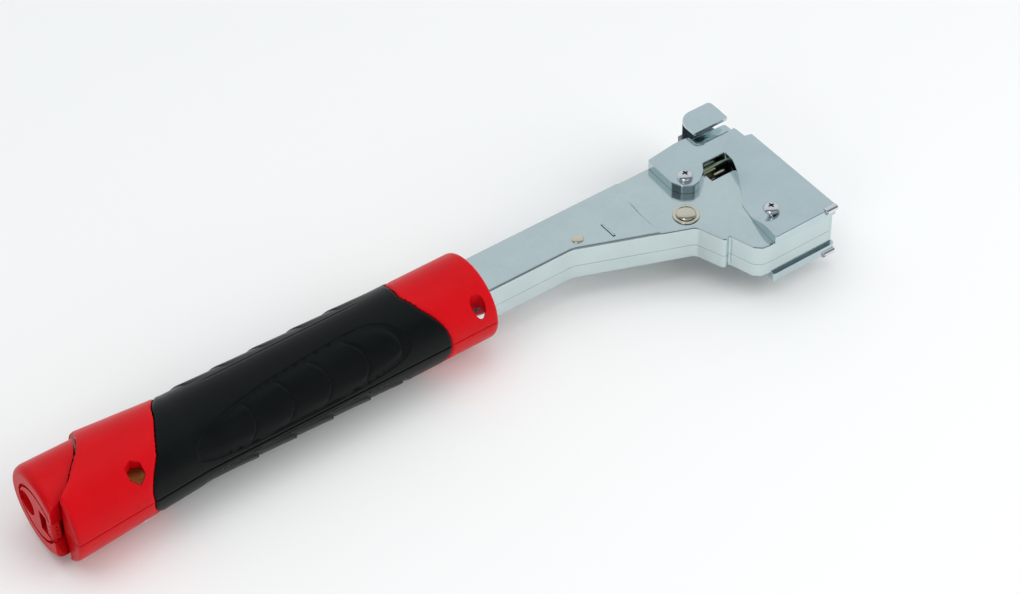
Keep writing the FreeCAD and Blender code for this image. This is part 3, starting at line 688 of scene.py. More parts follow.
def softenRed(half):
    def depth(co):
        if not onSkin(co):
            return 0.0
        best = roundedEdge(lineDistance(co.x, co.y, gripOutline), 0.9 * mm, 0.4 * mm)
        best = max(best, roundedEdge(lineDistance(co.x, co.y, capCutLine), 1.2 * mm, 0.6 * mm))
        return max(best, roundedEdge(abs(co.z - midZ), 0.5 * mm, 0.22 * mm))
    return pushSurface(half, depth, outward=False)


# pockets: place in plan, and the height of the seat over the mid plane
pockets = {
    "cap": (-116.4, 1.6, 7.6),
    "collar": (17.4, 1.3, 4.2),
    "tall": 30.0,
    "roundRadius": 2.7,
    "hexRadius": 3.3,
}


def addPocket(label, hexagon):
    # an upright pocket down to the seat of a bolt head or a nut
    x, y, seat = pockets[label]
    corners, radius = (6, pockets["hexRadius"]) if hexagon else (40, pockets["roundRadius"])
    clearSelection()
    tall = pockets["tall"] * mm
    bpy.ops.mesh.primitive_cylinder_add(vertices=corners, radius=radius * mm, depth=tall,
                                        location=(x * mm, y * mm, midZ + seat * mm + tall / 2))
    pocket = nameLast(label + "Pocket")
    applyPlace(pocket)
    return pocket


redUpper = makeRedHalf("handleMouldingUpper")
redLower = mirrorDown(redUpper, "handleMouldingLower")
cutWith(redUpper, addPocket("cap", True), addPocket("collar", False))
capPocket = addPocket("cap", False)
cutWith(redLower, mirrorDown(capPocket, "capPocketBelow"))
bpy.data.objects.remove(capPocket)
for half in (redUpper, redLower):
    softenRed(half)
finishPair((redUpper, redLower), redPlastic, "handle_core", 40)
print("red mouldings ready")

grip = {
    "around": 288,
    "rowStep": 0.5,
    "proud": 0.12,
    "panelDepth": 0.3,
    "grooveWide": 0.5,
    "grooveDeep": 0.42,
    "fingerEdges": (-72.0, -57.2, -42.6, -27.6, -14.5),
    "fingerPitch": 14.8,
    "fingerRise": 0.5,
    "fingerGroove": 0.4,
    "fingerCurve": (52.0, 26.0, 3.6),
    "scaleEdges": (-88.6, -73.8, -58.8, -43.3, -28.8),
    "scaleReach": 15.0,
    "scaleRise": 0.5,
    "scaleCurve": (-95.0, 60.0, -5.0),
    "palmLine": -24.0,
    "palmGroove": 0.22,
}
arcScale = 16.2 * math.pi / 180   # millimetres of surface for each degree round the handle


def cutCorners(points, times=3):
    for _ in range(times):
        finer = []
        for (ax, ay), (bx, by) in zip(points, points[1:] + points[:1]):
            for share in (0.25, 0.75):
                finer.append((ax * (1 - share) + bx * share, ay * (1 - share) + by * share))
        points = finer
    return points


# finger panel as places along the handle and degrees round it
panelPlan = [(-93.5, 84), (-94.5, 52), (-84, 35), (-67, 24), (-50, 18.5), (-34, 14), (-21, 14),
             (-12.5, 34), (-11, 84)]
panelOutline = cutCorners([(x, turn * arcScale) for x, turn in panelPlan])
panelLoop = panelOutline + panelOutline[:1]


def insideLoop(x, y, loop):
    inside = False
    for (ax, ay), (bx, by) in zip(loop, loop[1:]):
        if (ay > y) != (by > y) and x < ax + (bx - ax) * (y - ay) / (by - ay):
            inside = not inside
    return inside


def curvedEdge(edge, turn, curve):
    # an edge across the handle that bows back away from its middle
    middle, spread, depth = curve
    return edge - depth * ((turn - middle) / spread) ** 2


def fingerHeight(x, turn):
    # scallops that rise towards the head and drop at a curved edge
    for edge in grip["fingerEdges"]:
        behind = curvedEdge(edge, turn, grip["fingerCurve"]) - x
        if -0.4 < behind < grip["fingerPitch"]:
            rise = (1 - max(behind, 0.0) / grip["fingerPitch"]) ** 1.6
            return rise * smooth((behind + 0.4) / 0.5)
    return 0.0


def fingerGroove(x, turn):
    # the dark line in front of each scallop's tip
    best = 0.0
    for edge in grip["fingerEdges"]:
        ahead = x - curvedEdge(edge, turn, grip["fingerCurve"])
        best = max(best, 1 - abs(ahead - 0.7) / 0.75)
    return best * grip["fingerGroove"]


def scaleHeight(x, turn):
    # overlapping steps on the palm side that fall away towards the head
    best = 0.0
    for edge in grip["scaleEdges"]:
        ahead = x - curvedEdge(edge, turn, grip["scaleCurve"])
        if -0.4 < ahead < grip["scaleReach"]:
            fall = 1 - max(ahead, 0.0) / grip["scaleReach"]
            best = max(best, fall * smooth((ahead + 0.4) / 0.5))
    return best


def panelEdge(x, turn):
    # distance into the finger panel, negative outside it
    arc = turn * arcScale
    away = lineDistance(x, arc, panelLoop) if panelBounds(x, turn) else 9.0
    return away if insideLoop(x, arc, panelLoop) else -away


def panelBounds(x, turn):
    return -97 < x < -9 and 8 < turn < 88


def sinkRubber(co):
    if not onSkin(co, grip["proud"]):
        return 0.0
    x, turn = co.x / mm, turnOf(co)
    depth = roundedEdge(lineDistance(co.x, co.y, gripOutline), 1.1 * mm, 0.55 * mm)
    depth = max(depth, roundedEdge(abs(co.z - midZ), 0.6 * mm, 0.28 * mm))
    if panelBounds(x, turn):
        into = panelEdge(x, turn)
        groove = max(1 - abs(into) / grip["grooveWide"], 0.0) ** 1.3 * grip["grooveDeep"]
        depth += max(groove, smooth(into / 0.8) * grip["panelDepth"]) * mm
        if into > 0.5:
            depth += fingerGroove(x, turn) * smooth((into - 0.5) / 2.5) * mm
    if -82 < x < -16:
        ease = smooth((x + 82) / 6) * smooth((-16 - x) / 6)
        away = abs(turn - grip["palmLine"]) * arcScale
        depth += ease * max(1 - away / 0.6, 0.0) * grip["palmGroove"] * mm
    return depth


def swellRubber(co):
    if not onSkin(co, grip["proud"]):
        return 0.0
    x, turn = co.x / mm, turnOf(co)
    if panelBounds(x, turn):
        into = panelEdge(x, turn)
        if into > 0.6:
            return fingerHeight(x, turn) * smooth((into - 0.6) / 3.0) * grip["fingerRise"] * mm
    if -88 < x < -8 and -175 < turn < -30:
        fade = smooth((-30 - turn) / 12)
        return scaleHeight(x, turn) * fade * grip["scaleRise"] * mm
    return 0.0


def makeRubberHalf(name):
    rows = [6.5 - grip["rowStep"] * i for i in range(244)]
    half = handleBar(name, rows, grip["proud"], grip["around"])
    keepAbove(half, midZ + handle["seamGap"] * mm)
    keepInside(half, padOutline("gripRoom", gripOutline, 0, handle["padHigh"] * mm))
    cutWith(half, makeInnerBar(-120.0))
    pushSurface(half, swellRubber)
    return pushSurface(half, sinkRubber, outward=False)


rubberUpper = makeRubberHalf("gripSleeveUpper")
rubberLower = mirrorDown(rubberUpper, "gripSleeveLower")
finishPair((rubberUpper, rubberLower), blackRubber, "grip", 50)
print("rubber sleeves ready")


# arm: two pressed half shells with a folded back edge

arm = {
    "sheet": 1.1,
    "foldRound": 1.35,
    "joggleDrop": 0.45,
    "joggleRamp": 0.4,
    "joggleLayer": 1.05,
    "seamDrop": 1.05,
    "seamGap": 0.05,
    "edgeSoft": 0.14,
    "farY": 23.9,
    "backX": -112.0,
    "frontX": 144.6,
    "lance": (76.0, 77.1, 2.3, 9.9),
    "window": (122.1, 134.3, 5.0, 11.8),
    "punchReach": 4.0,
    "past": 9.0,
}
foldLine = [
    (-112.0, 5.9), (61.0, 5.9, 9.0), (102.5, -10.9, 3.0), (106.7, -22.5, 1.35), (109.1, -21.2, 0.6),
    (112.2, -30.8, 1.6), (114.6, -33.0, 1.6), (117.6, -33.4, 1.6), (144.6, -33.4),
]
joggleLine = metres([(91.0, -40.0), (90.4, 5.9), (91.4, 15.0), (94.0, 25.0)])
# holes in each arm plate: place and radius
armHoles = [(103.6, -3.6, 2.88), (65.2, 8.9, 1.3), (-104.0, 18.0, 2.2), (113.1, 9.3, 1.6),
            (126.8, -22.2, 1.6)]


def near(value, target, slack=0.02 * mm):
    return abs(value - target) < slack


def shiftLine(points, reach):
    # an open line moved sideways to its left by reach, with mitred corners
    moved = []
    for i, point in enumerate(points):
        before = Vector(points[max(i - 1, 0)])
        after = Vector(points[min(i + 1, len(points) - 1)])
        here = Vector(point)
        first = (here - before).normalized() if i else (after - here).normalized()
        last = (after - here).normalized() if i < len(points) - 1 else first
        left = Vector((-first.y - last.y, first.x + last.x)).normalized()
        moved.append(tuple(here + left * reach / max(left.dot(Vector((-first.y, first.x))), 0.5)))
    return moved


def pastJoggle(co):
    # distance in plan past the joggle line, negative on the handle side
    for (ax, ay), (bx, by) in zip(joggleLine, joggleLine[1:]):
        if co.y <= by:
            break
    return co.x - ax - (bx - ax) * (co.y - ay) / (by - ay)


def makeArmShell(name, seam):
    sheet, past = arm["sheet"] * mm, arm["past"]
    rounded = roundOutline(metres(foldLine), 5)
    corners = metres([(arm["frontX"], arm["farY"]), (arm["backX"], arm["farY"])])
    shell = padOutline(name, rounded + corners, seam, plateZ)

    def foldEdge(a, b):
        onLine = max(lineDistance(c.x, c.y, rounded) for c in (a, b)) < 0.03 * mm
        return near(a.z, plateZ) and near(b.z, plateZ) and onLine

    pickParts(shell, "EDGE", foldEdge)
    bpy.ops.mesh.bevel(offset=arm["foldRound"] * mm, segments=4, affect="EDGES", clamp_overlap=False)
    leaveEdit()
    inner = shiftLine(metres([point[:2] for point in foldLine]), sheet)
    inner[0] = (inner[0][0] - past * mm, inner[0][1])
    inner[-1] = (inner[-1][0] + past * mm, inner[-1][1])
    room = metres([(arm["frontX"] + past, arm["farY"] + past), (arm["backX"] - past, arm["farY"] + past)])
    cutWith(shell, padOutline("armHollow", inner + room, seam - past * mm, plateZ - sheet))
    gridCuts(shell, 0, steps(87 * mm, 96 * mm, 0.3 * mm))
    gridCuts(shell, 1, steps(-20 * mm, arm["farY"] * mm, 2 * mm))

    def drop(co):
        # only the outer face steps down, the inner one stays clear of the magazine
        ramp = smooth(pastJoggle(co) / (arm["joggleRamp"] * mm))
        layer = arm["joggleLayer"] * mm
        level = min(max((co.z - plateZ + layer) / layer, 0.0), 1.0)
        return ramp * level * arm["joggleDrop"] * mm

    pushSurface(shell, drop, outward=False, direction="Z")
    low, high = plateZ - arm["punchReach"] * mm, plateZ + arm["punchReach"] * mm
    for x0, x1, y0, y1 in (arm["lance"], arm["window"]):
        cutWith(shell, addBox("punch", (x0 * mm, y0 * mm, low), (x1 * mm, y1 * mm, high)))
    for x, y, radius in armHoles:
        cutWith(shell, addRod("punch", (x * mm, y * mm, low), (x * mm, y * mm, high), radius * mm, 32))
    return softenEdges(shell, arm["edgeSoft"] * mm, 2, 50)


seamUp = midZ - (arm["seamDrop"] - arm["seamGap"]) * mm
seamDown = midZ + (arm["seamDrop"] + arm["seamGap"]) * mm
armUpper = makeArmShell("armShellUpper", seamUp)
armBlank = makeArmShell("armBlank", seamDown)
armLower = mirrorDown(armBlank, "armShellLower")
bpy.data.objects.remove(armBlank)
finishPair((armUpper, armLower), zincSheet, "arm_shell", 30)
print("arm shells ready")

# head covers: pressed sheet with a rolled rim, run out flush beside the window

cover = {
    "rim": 1.5,
    "thinnest": 0.2,
    "flushReach": 14.0,
    "dishWide": 4.9,
    "dishDeep": 0.14,
    "noseDrop": 2.0,
    "grid": 1.1,
    "gridX": (106.5, 147.5),
    "gridY": (-35.0, 26.5),
}
coverPlan = [
    (108.0, 24.5, 0.8), (107.4, 9.8, 2.0), (109.2, 6.0, 2.0), (112.8, 3.8, 2.4), (116.2, 4.6, 2.4),
    (120.5, 8.0), (122.7, 11.4, 0.5), (132.9, 11.4, 0.7), (132.5, 6.8), (129.5, -1.0, 12.0),
    (125.4, -8.0, 9.0),
    (122.6, -11.3, 2.0), (120.6, -20.2, 3.0), (119.1, -34.5, 0.5), (146.8, -34.5, 1.2), (147.0, 13.5, 0.4),
    (144.3, 14.3, 0.4), (143.9, 25.3, 1.2), (121.1, 26.1, 0.8),
]
flushLine = metres([(125.6, -7.6), (122.6, -11.3), (121.7, -15.0)])
screwPlaces = metres([(113.1, 9.3), (126.8, -22.2)])
plateTop = coverBox[0].z
coverTop = coverBox[1].z


def coverHeight(co):
    # share of the full height that the pressing keeps at a place
    away = lineDistance(co.x, co.y, flushLine) / mm
    share = smooth(away / cover["flushReach"])
    return max(share, cover["thinnest"] * mm / (coverTop - plateTop))


def coverSink(co):
    tall = co.z - plateTop
    if tall < 0.01 * mm:
        return 0.0
    drop = tall * (1 - coverHeight(co))
    share = tall / (coverTop - plateTop)
    for x, y in screwPlaces:
        away = math.hypot(co.x - x, co.y - y) / mm
        drop += share * cover["dishDeep"] * smooth((cover["dishWide"] - away) / 1.1) * mm
    under = smooth((co.y / mm - 19.5) / 2.2) * smooth((co.x / mm - 127.0) / 2.0)
    return drop + share * under * cover["noseDrop"] * mm


def makeCover(name):
    piece = padOutline(name, roundOutline(metres(coverPlan), 4), plateTop, coverTop)
    pickParts(piece, "EDGE", lambda a, b: near(a.z, coverTop) and near(b.z, coverTop))
    bpy.ops.mesh.bevel(offset=cover["rim"] * mm, segments=4, affect="EDGES", clamp_overlap=True)
    leaveEdit()
    for axis, key in enumerate(("gridX", "gridY")):
        low, high = (value * mm for value in cover[key])
        gridCuts(piece, axis, steps(low, high, cover["grid"] * mm))
    return pushSurface(piece, coverSink, outward=False, direction="Z")


coverUpper = makeCover("headCoverUpper")
coverLower = mirrorDown(coverUpper, "headCoverLower")
finishPair((coverUpper, coverLower), zincCover, "head_cover", 38)
print("head covers ready")

# thin raised tongue standing in the lanced slot of each arm plate
rib = {"low": (76.2, 2.6, 24.2), "high": (76.9, 9.6, 25.75), "soft": 0.22}
ribUpper = addBox("lanceRib", *metres([rib["low"], rib["high"]]))
softenEdges(ribUpper, rib["soft"] * mm, 3, 40)
finishPiece(bothSides(ribUpper, "lanceRibs"), "frame", zincSheet)

# rolled tab at the corner of each cover, slit at one end
tab = {"start": 141.4, "end": 146.4, "y": -34.2, "z": 28.1, "radius": 1.3, "slitDeep": 0.7,
       "slitHalf": 0.3, "soft": 0.25}
tabUpper = addRod("cornerTab", *metres([(tab[end], tab["y"], tab["z"]) for end in ("start", "end")]),
                  tab["radius"] * mm, 32)
slitLow = (tab["start"] - 0.5, tab["y"] - 2, tab["z"] - tab["slitHalf"])
slitHigh = (tab["start"] + tab["slitDeep"], tab["y"] + 2, tab["z"] + tab["slitHalf"])
cutWith(tabUpper, addBox("tabSlit", *metres([slitLow, slitHigh])))
softenEdges(tabUpper, tab["soft"] * mm, 3, 40)
finishPiece(bothSides(tabUpper, "cornerTabs"), "frame", brightScrew)

# lip of the magazine and the latch tab that show in the windows
lips = {"lip": ((122.8, 10.85, 23.4), (133.2, 11.65, 25.0)),
        "latch": ((125.6, 7.9, 22.9), (130.2, 8.9, 23.9))}
lipUpper = joinWith(*[addBox(label, *metres(corners)) for label, corners in lips.items()])
softenEdges(lipUpper, 0.2 * mm, 2, 40)
finishPiece(bothSides(lipUpper, "magazineLips"), "magazine", seatBrass)

# front plate with rolled edges and two shallow pressed grooves
front = {"soft": 0.45, "grooveFromMiddle": 3.2, "grooveHalf": 0.7, "grooveDeep": 0.3, "grooveInset": 7.0,
         "grooveSoft": 0.25}
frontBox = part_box("head_front_plate")
frontPlate = addBox("frontPlate", frontBox[0], frontBox[1])
softenEdges(frontPlate, front["soft"] * mm, 3, 30)
for side in (-1, 1):
    level = midZ + side * front["grooveFromMiddle"] * mm
    inset, half = front["grooveInset"] * mm, front["grooveHalf"] * mm
    floor = frontBox[1].x - front["grooveDeep"] * mm
    groove = addBox("pressedGroove", (floor, frontBox[0].y + inset, level - half),
                    (frontBox[1].x + mm, frontBox[1].y - inset, level + half))
    softenEdges(groove, front["grooveSoft"] * mm, 2, 30)
    cutWith(frontPlate, groove)
finishPiece(frontPlate, "frame", zincCover, ["head_front_plate"])
print("tabs, lips and front plate ready")

# cover screws: domed heads with a cross recess

screw = {
    "head": 2.9,
    "rise": 2.0,
    "rim": 0.35,
    "shank": 1.6,
    "crossLong": 1.75,
    "crossThin": 0.5,
    "crossDeep": 1.5,
    "tips": (plateZ - 1.1 * mm, midZ + 1.5 * mm),
}


def quarterArc(radius, rise, foot, rings):
    # a dome's outline from its top to its rim
    turns = [math.pi / 2 * i / rings for i in range(1, rings + 1)]
    return [(0.0, foot + rise)] + [(radius * math.sin(a), foot + rise * math.cos(a)) for a in turns]


def makeScrew(name, x, y, tip):
    head, rise, shank = screw["head"], screw["rise"], screw["shank"]
    dome = quarterArc(head, rise - screw["rim"], screw["rim"], 7)
    profile = metres(dome + [(head, 0.12), (head - 0.15, -0.25), (shank, -0.3)])
    profile += [(shank * mm, tip - coverTop), (0.0, tip - coverTop)]
    piece = lathe(name, profile, (x, y, coverTop), 48)
    long, thin = screw["crossLong"] * mm, screw["crossThin"] * mm
    floor = coverTop + (rise - screw["crossDeep"]) * mm
    for reachX, reachY in ((long, thin), (thin, long)):
        bar = addBox("crossBar", (x - reachX, y - reachY, floor),
                     (x + reachX, y + reachY, coverTop + 4 * mm))
        pickParts(bar, "FACE", lambda c, n: n.z < -0.5)
        bpy.ops.transform.resize(value=(0.5, 0.5, 1), center_override=(x, y, floor))
        leaveEdit()
        cutWith(piece, bar)
    return piece


screwPairs = [bothSides(makeScrew("screw", x, y, tip), "screwPair")
              for (x, y), tip in zip(screwPlaces, screw["tips"])]
coverScrews = joinWith(*screwPairs)
coverScrews.name = "coverScrews"
finishPiece(coverScrews, "frame", brightScrew, ["cover_screws"])

# rivets

rivet = {
    "place": (103.6, -3.6),
    "radius": 3.6,
    "rise": 1.55,
    "shank": 2.88,
    "ringTall": 0.6,
    "stubPlace": (65.2, 8.9),
    "stubRadius": 2.3,
    "stubRise": 0.95,
    "stubShank": 1.3,
}
ringProfile = metres([(3.0, 0.0), (3.0, 0.35), (3.9, 0.42), (4.35, 0.6), (4.8, 0.5), (4.95, 0.25),
                      (4.95, 0.0), (3.0, 0.0)])


def domeProfile(radius, rise, foot, shank, depth):
    return metres(quarterArc(radius, rise, foot, 8) + [(radius - 0.1, foot - 0.05), (shank, foot - 0.08),
                                                       (shank, -depth), (0.0, -depth)])


rivetSpot = (*metres([rivet["place"]])[0], ringBox[1].z - rivet["ringTall"] * mm)
stubSpot = (*metres([rivet["stubPlace"]])[0], plateZ)
headProfile = domeProfile(rivet["radius"], rivet["rise"], 0.55, rivet["shank"], 7.15)
stubProfile = domeProfile(rivet["stubRadius"], rivet["stubRise"], 0.0, rivet["stubShank"], 1.1)
for name, profile, spot, around, node in (("bigRivet", headProfile, rivetSpot, 64, "frame_rivet"),
                                          ("rivetRings", ringProfile, rivetSpot, 64, "rivet_rings"),
                                          ("armRivets", stubProfile, stubSpot, 40, "arm_rivets")):
    pair = bothSides(lathe(name, profile, spot, around), name)
    finishPiece(pair, "frame", nickelRivet, [node])
print("screws and rivets ready")

# nose shoe: a bent strap round the nose, open over the covers

shoe = {
    "sheet": 1.25,
    "soft": 0.3,
    "rim": 1.2,
    "rimFromY": 24.0,
    "roomY": 32.4,
    "slotX": (133.75, 135.9),
    "slotHalf": 5.4,
}
shoePlan = [(128.5, 23.5, 0.5), (143.6, 23.5, 0.5), (144.0, 34.5, 1.6), (128.5, 34.5, 5.8)]
noseShoe = padOutline("noseShoe", roundOutline(metres(shoePlan), 7), shoeBox[0].z, shoeBox[1].z)
pickParts(noseShoe, "EDGE", lambda a, b: near(a.z, b.z) and min(a.y, b.y) > shoe["rimFromY"] * mm)
bpy.ops.mesh.bevel(offset=shoe["rim"] * mm, segments=4, affect="EDGES", clamp_overlap=True)
leaveEdit()
wall, slotHalf = shoe["sheet"] * mm, shoe["slotHalf"] * mm
shoeRoom = addBox("shoeRoom", (0.12, 0.0, shoeBox[0].z + wall),
                  (0.15, shoe["roomY"] * mm, shoeBox[1].z - wall))
shoeSlot = addBox("shoeSlot", (shoe["slotX"][0] * mm, 0.030, midZ - slotHalf),
                  (shoe["slotX"][1] * mm, 0.036, midZ + slotHalf))
cutWith(noseShoe, shoeRoom, shoeSlot)
softenEdges(noseShoe, shoe["soft"] * mm, 3, 35)
finishPiece(noseShoe, "magazine", zincCover, ["nose_shoe"])
print("nose shoe ready")

# springs wound from wire
springs = {
    "returnSpring": {"node": "return_spring", "body": "frame", "axis": "Y", "coil": 2.85, "wire": 0.55,
                     "turns": 9, "sides": 10, "stepsPerTurn": 28},
    "feedSpring": {"node": "feed_spring", "body": "loader", "axis": "X", "coil": 1.9, "wire": 0.4,
                   "turns": 96, "sides": 6, "stepsPerTurn": 14},
}


def windSpring(name, plan):
    # a wire section swept along a helix and closed at both ends
    low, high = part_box(plan["node"])
    along, wire, coil = "XYZ".index(plan["axis"]), plan["wire"] * mm, plan["coil"] * mm
    start = (low + high) / 2
    start[along] = low[along] + wire
    length = high[along] - low[along] - 2 * wire
    count = plan["stepsPerTurn"] * plan["turns"]
    clearSelection()
    bpy.ops.mesh.primitive_circle_add(vertices=plan["sides"], radius=wire, fill_type="NOTHING")
    piece = nameLast(name)
    enterEdit(piece)
    bpy.ops.transform.translate(value=(0, coil, 0) if along == 0 else (coil, 0, 0))
    leaveEdit()
    addModifier(piece, "SCREW", axis=plan["axis"], angle=2 * math.pi * plan["turns"], screw_offset=length,
                steps=count, render_steps=count, use_merge_vertices=False)
    enterEdit(piece)
    bpy.ops.mesh.select_mode(type="EDGE")
    bpy.ops.mesh.select_all(action="DESELECT")
    bpy.ops.mesh.select_non_manifold()
    bpy.ops.mesh.edge_face_add()
    selectAll()
    bpy.ops.transform.translate(value=start)
    faceOutwards()
    leaveEdit()
    return piece


for name, plan in springs.items():
    finishPiece(windSpring(name, plan), plan["body"], springSteel, [plan["node"]], angle=60)
print("springs ready")

# loader knob: rounded oval block with a sunk oval ring in its end

knob = {
    "wide": 17.4,
    "high": 15.8,
    "frontX": knobBox[1].x / mm,
    "endX": knobBox[0].x / mm,
    "endRound": 3.2,
    "ringOuter": (11.6, 10.2),
    "ringInner": (10.4, 9.0),
    "ringDeep": 1.3,
    "fingerY": 20.9,
    "fingerRadius": 4.6,
    "fingerDeep": 3.0,
    "fitGap": 0.48,
    "catchRoomHalf": 4.4,
    "railRoomHalf": 3.8,
    "soft": 0.45,
}
catchPin = (-139.6, 12.2)   # the catch turns about this place
catch = {"halfThick": 4.0, "pinRoom": 1.05, "grooveRadius": 0.35, "grooveStep": 1.6, "soft": 0.4}
catchPlan = [(1.9, 1.6, 1.2), (-1.9, 2.0, 1.6), (-7.0, -3.4, 1.8), (-7.3, -7.8, 1.2), (-4.0, -7.8, 1.0),
             (-1.6, -3.6, 1.2), (1.9, -1.8, 1.2)]
catchRoomPlan = [(2.4, 2.3), (-2.2, 2.7), (-10.4, -1.6), (-10.4, -9.7), (-3.4, -9.7), (-1.0, -4.2),
                 (2.4, -2.4)]


def fromPin(points):
    # moves an outline drawn round the catch's pin to its place
    return [(x + catchPin[0], y + catchPin[1], *rest) for x, y, *rest in points]


def knobRows():
    # outline from the front to the rounded end
    start, end, bend = knob["frontX"], knob["endX"], knob["endRound"]
    rows = [(start, 0.0), (start - 0.35, 0.0)]
    rows += [(start - 0.35 - i, 0.0) for i in range(1, 19)]
    for i in range(1, 8):
        angle = math.pi / 2 * i / 8
        rows.append((end + bend * (1 - math.sin(angle)), -bend * 0.75 * (1 - math.cos(angle))))
    rows.append((end, -bend * 0.75))
    return [(x * mm, (knob["wide"] + inset) * mm, (knob["high"] + inset) * mm) for x, inset in rows]


def endOval(name, size, deep, clear):
    wide, high = (value * mm for value in size)
    rows = [((knob["endX"] + shift) * mm, wide, high) for shift in (-clear, deep)]
    return ovalBar(name, rows, handleCentre, 96)


def makeKnob(name):
    piece = ovalBar(name, knobRows(), handleCentre, 160)
    end, fingerY, roomHalf = knob["endX"], knob["fingerY"] * mm, knob["catchRoomHalf"] * mm
    ring = endOval("ringOut", knob["ringOuter"], knob["ringDeep"], 2)
    cutWith(ring, endOval("ringIn", knob["ringInner"], 3, 3))
    finger = addRod("fingerRoom", ((end - 2) * mm, fingerY, midZ),
                    ((end + knob["fingerDeep"]) * mm, fingerY, midZ), knob["fingerRadius"] * mm, 56)
    gap = knob["fitGap"] * mm
    wedgeLine = [(x - gap, y + gap) for x, y in capCutLine]
    wedgeLine += metres([(-120.0, 41.4), (-120.0, -5.0), (-150.0, -5.0)])
    wedge = padOutline("wedge", wedgeLine, -10 * mm, handle["padHigh"] * mm)
    slot = padOutline("catchRoom", metres(fromPin(catchRoomPlan)), midZ - roomHalf, midZ + roomHalf)
    railHalf = knob["railRoomHalf"] * mm
    rail = addBox("railRoom", (-0.136, 0.0127, midZ - railHalf), (-0.110, 0.0222, midZ + railHalf))
    cutWith(piece, ring, finger, wedge, slot, rail)
    return softenEdges(piece, knob["soft"] * mm, 3, 32)


loaderKnob = makeKnob("loaderKnob")
finishPiece(loaderKnob, "loader", redPlastic, ["loader_knob"], angle=40)

# release catch: a rounded finger with thumb grooves that turns on a pin
half = catch["halfThick"] * mm
catchOutline = roundOutline(metres(fromPin(catchPlan)), 5)
releaseCatch = padOutline("releaseCatch", catchOutline, midZ - half, midZ + half)
pinX, pinY = (value * mm for value in catchPin)
cutWith(releaseCatch, addRod("pinRoom", (pinX, pinY, 0), (pinX, pinY, 0.04), catch["pinRoom"] * mm, 32))
for side in (-1, 0, 1):
    level = midZ + side * catch["grooveStep"] * mm
    cutWith(releaseCatch, addRod("thumbGroove", (-0.1478, 0.0068, level), (-0.1438, 0.0038, level),
                                 catch["grooveRadius"] * mm, 16))
softenEdges(releaseCatch, catch["soft"] * mm, 3, 40)
finishPiece(releaseCatch, "catch", redPlastic, ["release_catch"], angle=40)
print("knob and catch ready")

# handle nut with chamfered corners, closed and taller than its hole so that it covers its bolt's tip
nut = {"cover": 0.6, "chamfer": 0.5, "dimpleRadius": 1.6, "dimpleDeep": 0.3, "soft": 0.12}
nutLow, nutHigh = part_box("handle_nut")
nutX, nutY = (nutLow.x + nutHigh.x) / 2, (nutLow.y + nutHigh.y) / 2
nutTop = nutHigh.z + nut["cover"] * mm
tall = nutTop - nutLow.z
across = max(nutHigh.x - nutLow.x, nutHigh.y - nutLow.y) / 2
clearSelection()
bpy.ops.mesh.primitive_cylinder_add(vertices=6, radius=across, depth=tall,
                                    location=(nutX, nutY, nutLow.z + tall / 2))
handleNut = nameLast("handleNut")
applyPlace(handleNut)
coneProfile = [(0.0, 0.0), (across * 0.93, 0.0), (across * 1.01, 0.45 * mm),
               (across * 1.01, tall - nut["chamfer"] * mm), (across * 0.9, tall), (0.0, tall)]
keepInside(handleNut, lathe("cone", coneProfile, (nutX, nutY, nutLow.z), 48))
dimpleFloor = nutTop - nut["dimpleDeep"] * mm
cutWith(handleNut, addRod("dimple", (nutX, nutY, dimpleFloor), (nutX, nutY, nutTop + mm),
                          nut["dimpleRadius"] * mm, 40))
softenEdges(handleNut, nut["soft"] * mm, 2, 30)
finishPiece(handleNut, "frame", brassNut, ["handle_nut"])
print("nut ready")

# the parts that keep their frame shape
carried = {
    "driver_block": darkSteel, "driver_blade": darkSteel, "nose_guide": darkSteel,
    "magazine_channel": magazineSteel, "pivot_pins": magazineSteel, "loader_rail": magazineSteel,
    "guide_rod": magazineSteel, "staple_follower": magazineSteel, "loader_pins": magazineSteel,
    "spring_seat": seatBrass, "handle_bolts": brightScrew,
}
for node, material in carried.items():
    for place in bpy.data.objects[node].material_slots:
        place.material = material
print("carried parts finished")


# camera, floor and light

view = {"azimuth": -34.225, "elevation": 44.077, "roll": -1.667, "lens": 98.8,
        "place": (-0.35803, -0.57035, 0.69241)}


def addCamera():
    turn, tilt, roll = (math.radians(view[key]) for key in ("azimuth", "elevation", "roll"))
    back = Vector((math.sin(turn) * math.cos(tilt), -math.cos(turn) * math.cos(tilt), math.sin(tilt)))
    level = Vector((math.cos(turn), math.sin(turn), 0))
    above = back.cross(level)
    right = level * math.cos(roll) + above * math.sin(roll)
    up = above * math.cos(roll) - level * math.sin(roll)
    clearSelection()
    bpy.ops.object.camera_add(location=view["place"])
    camera = bpy.context.object
    camera.name = "viewCamera"
    camera.rotation_euler = Matrix((right, up, back)).transposed().to_euler()
    camera.data.lens = view["lens"]
    camera.data.sensor_width = 36.0
    camera.data.clip_start = 0.01
    bpy.context.scene.camera = camera


def addPanelLight(name, place, size, power, colour, mirrored):
    # mirrored says whether polished metal shows the panel
    clearSelection()
    aim = (-Vector(place)).to_track_quat("-Z", "Y").to_euler()
    bpy.ops.object.light_add(type="AREA", location=place, rotation=aim)
    lamp = bpy.context.object
    lamp.name = name
    lamp.data.shape = "RECTANGLE"
    lamp.data.size, lamp.data.size_y = size
    lamp.data.energy = power
    lamp.data.color = colour
    lamp.visible_glossy = mirrored


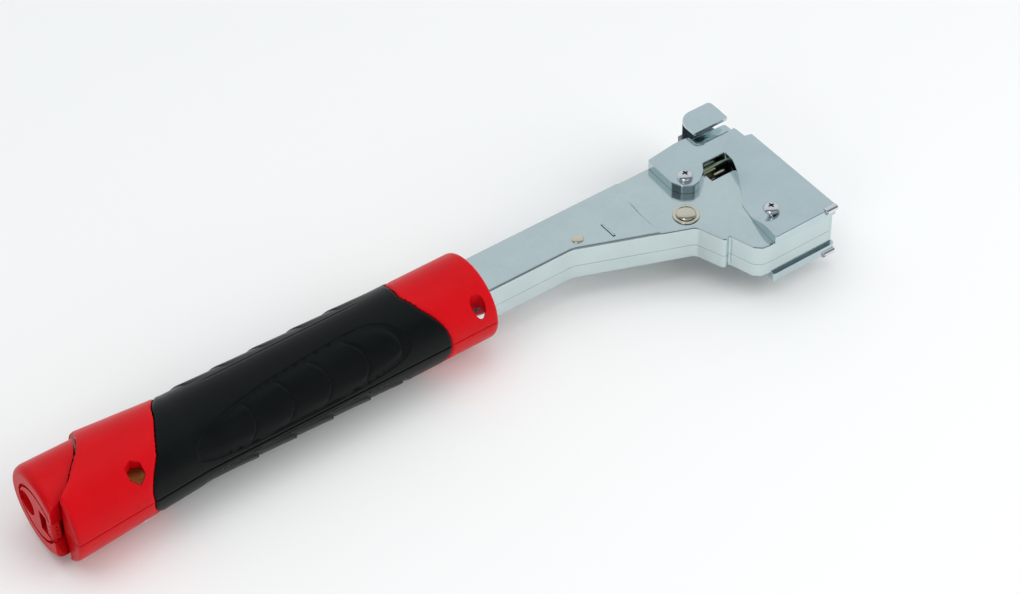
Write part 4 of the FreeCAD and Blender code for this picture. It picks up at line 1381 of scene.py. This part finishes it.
def addFloor():
    clearSelection()
    bpy.ops.mesh.primitive_plane_add(size=8.0, location=(0, 0, 0))
    floor = nameLast("studioFloor")
    material, tree, shader = startMaterial("paleFloor")
    cloud = placeGroup(tree, mottleGroup, Scale=3.0, Contrast=0.1)
    tree.links.new(mixColour(tree, cloud.outputs["Mask"], (0.885, 0.875, 0.865), (0.91, 0.90, 0.89)),
                   shader.inputs["Base Color"])
    shader.inputs["Roughness"].default_value = 0.75
    shader.inputs["Specular IOR Level"].default_value = 0.25
    floor.data.materials.append(material)


def setSky():
    world = bpy.data.worlds.new("studioSky")
    bpy.context.scene.world = world
    world.use_nodes = True
    tree = world.node_tree
    # dim on the near side and bright on the far side, so that folds carry a dark line
    place = tree.nodes.new("ShaderNodeTexCoord")
    along = tree.nodes.new("ShaderNodeVectorMath")
    along.operation = "DOT_PRODUCT"
    along.inputs[1].default_value = (0.45, 0.80, 0.40)
    tree.links.new(place.outputs["Generated"], along.inputs[0])
    ramp = tree.nodes.new("ShaderNodeValToRGB")
    ramp.color_ramp.interpolation = "EASE"
    tree.links.new(mapRange(tree, along.outputs["Value"], -1.0, 1.0), ramp.inputs["Fac"])
    ramp.color_ramp.elements[0].color = (0.50, 0.52, 0.55, 1)
    ramp.color_ramp.elements[1].color = (0.88, 0.93, 0.96, 1)
    for position, colour in ((0.38, (0.30, 0.32, 0.35, 1)), (0.49, (0.02, 0.022, 0.028, 1)),
                             (0.62, (0.60, 0.66, 0.69, 1)), (0.82, (0.80, 0.87, 0.89, 1))):
        ramp.color_ramp.elements.new(position).color = colour
    background = tree.nodes["Background"]
    tree.links.new(ramp.outputs["Color"], background.inputs["Color"])
    background.inputs["Strength"].default_value = 0.8


addCamera()
addFloor()
setSky()
addPanelLight("keyPanel", (-0.25, 0.15, 1.6), (1.6, 1.6), 9.8, (1.0, 1.0, 0.99), False)
addPanelLight("nearPanel", (0.8, -1.0, 0.75), (1.3, 1.3), 13.0, (1.0, 1.0, 0.99), False)
addPanelLight("fillPanel", (-1.1, -0.7, 0.7), (0.5, 0.5), 2.5, (0.98, 0.99, 1.0), True)
bpy.context.scene.view_settings.view_transform = "Standard"
print("camera, floor and light ready")
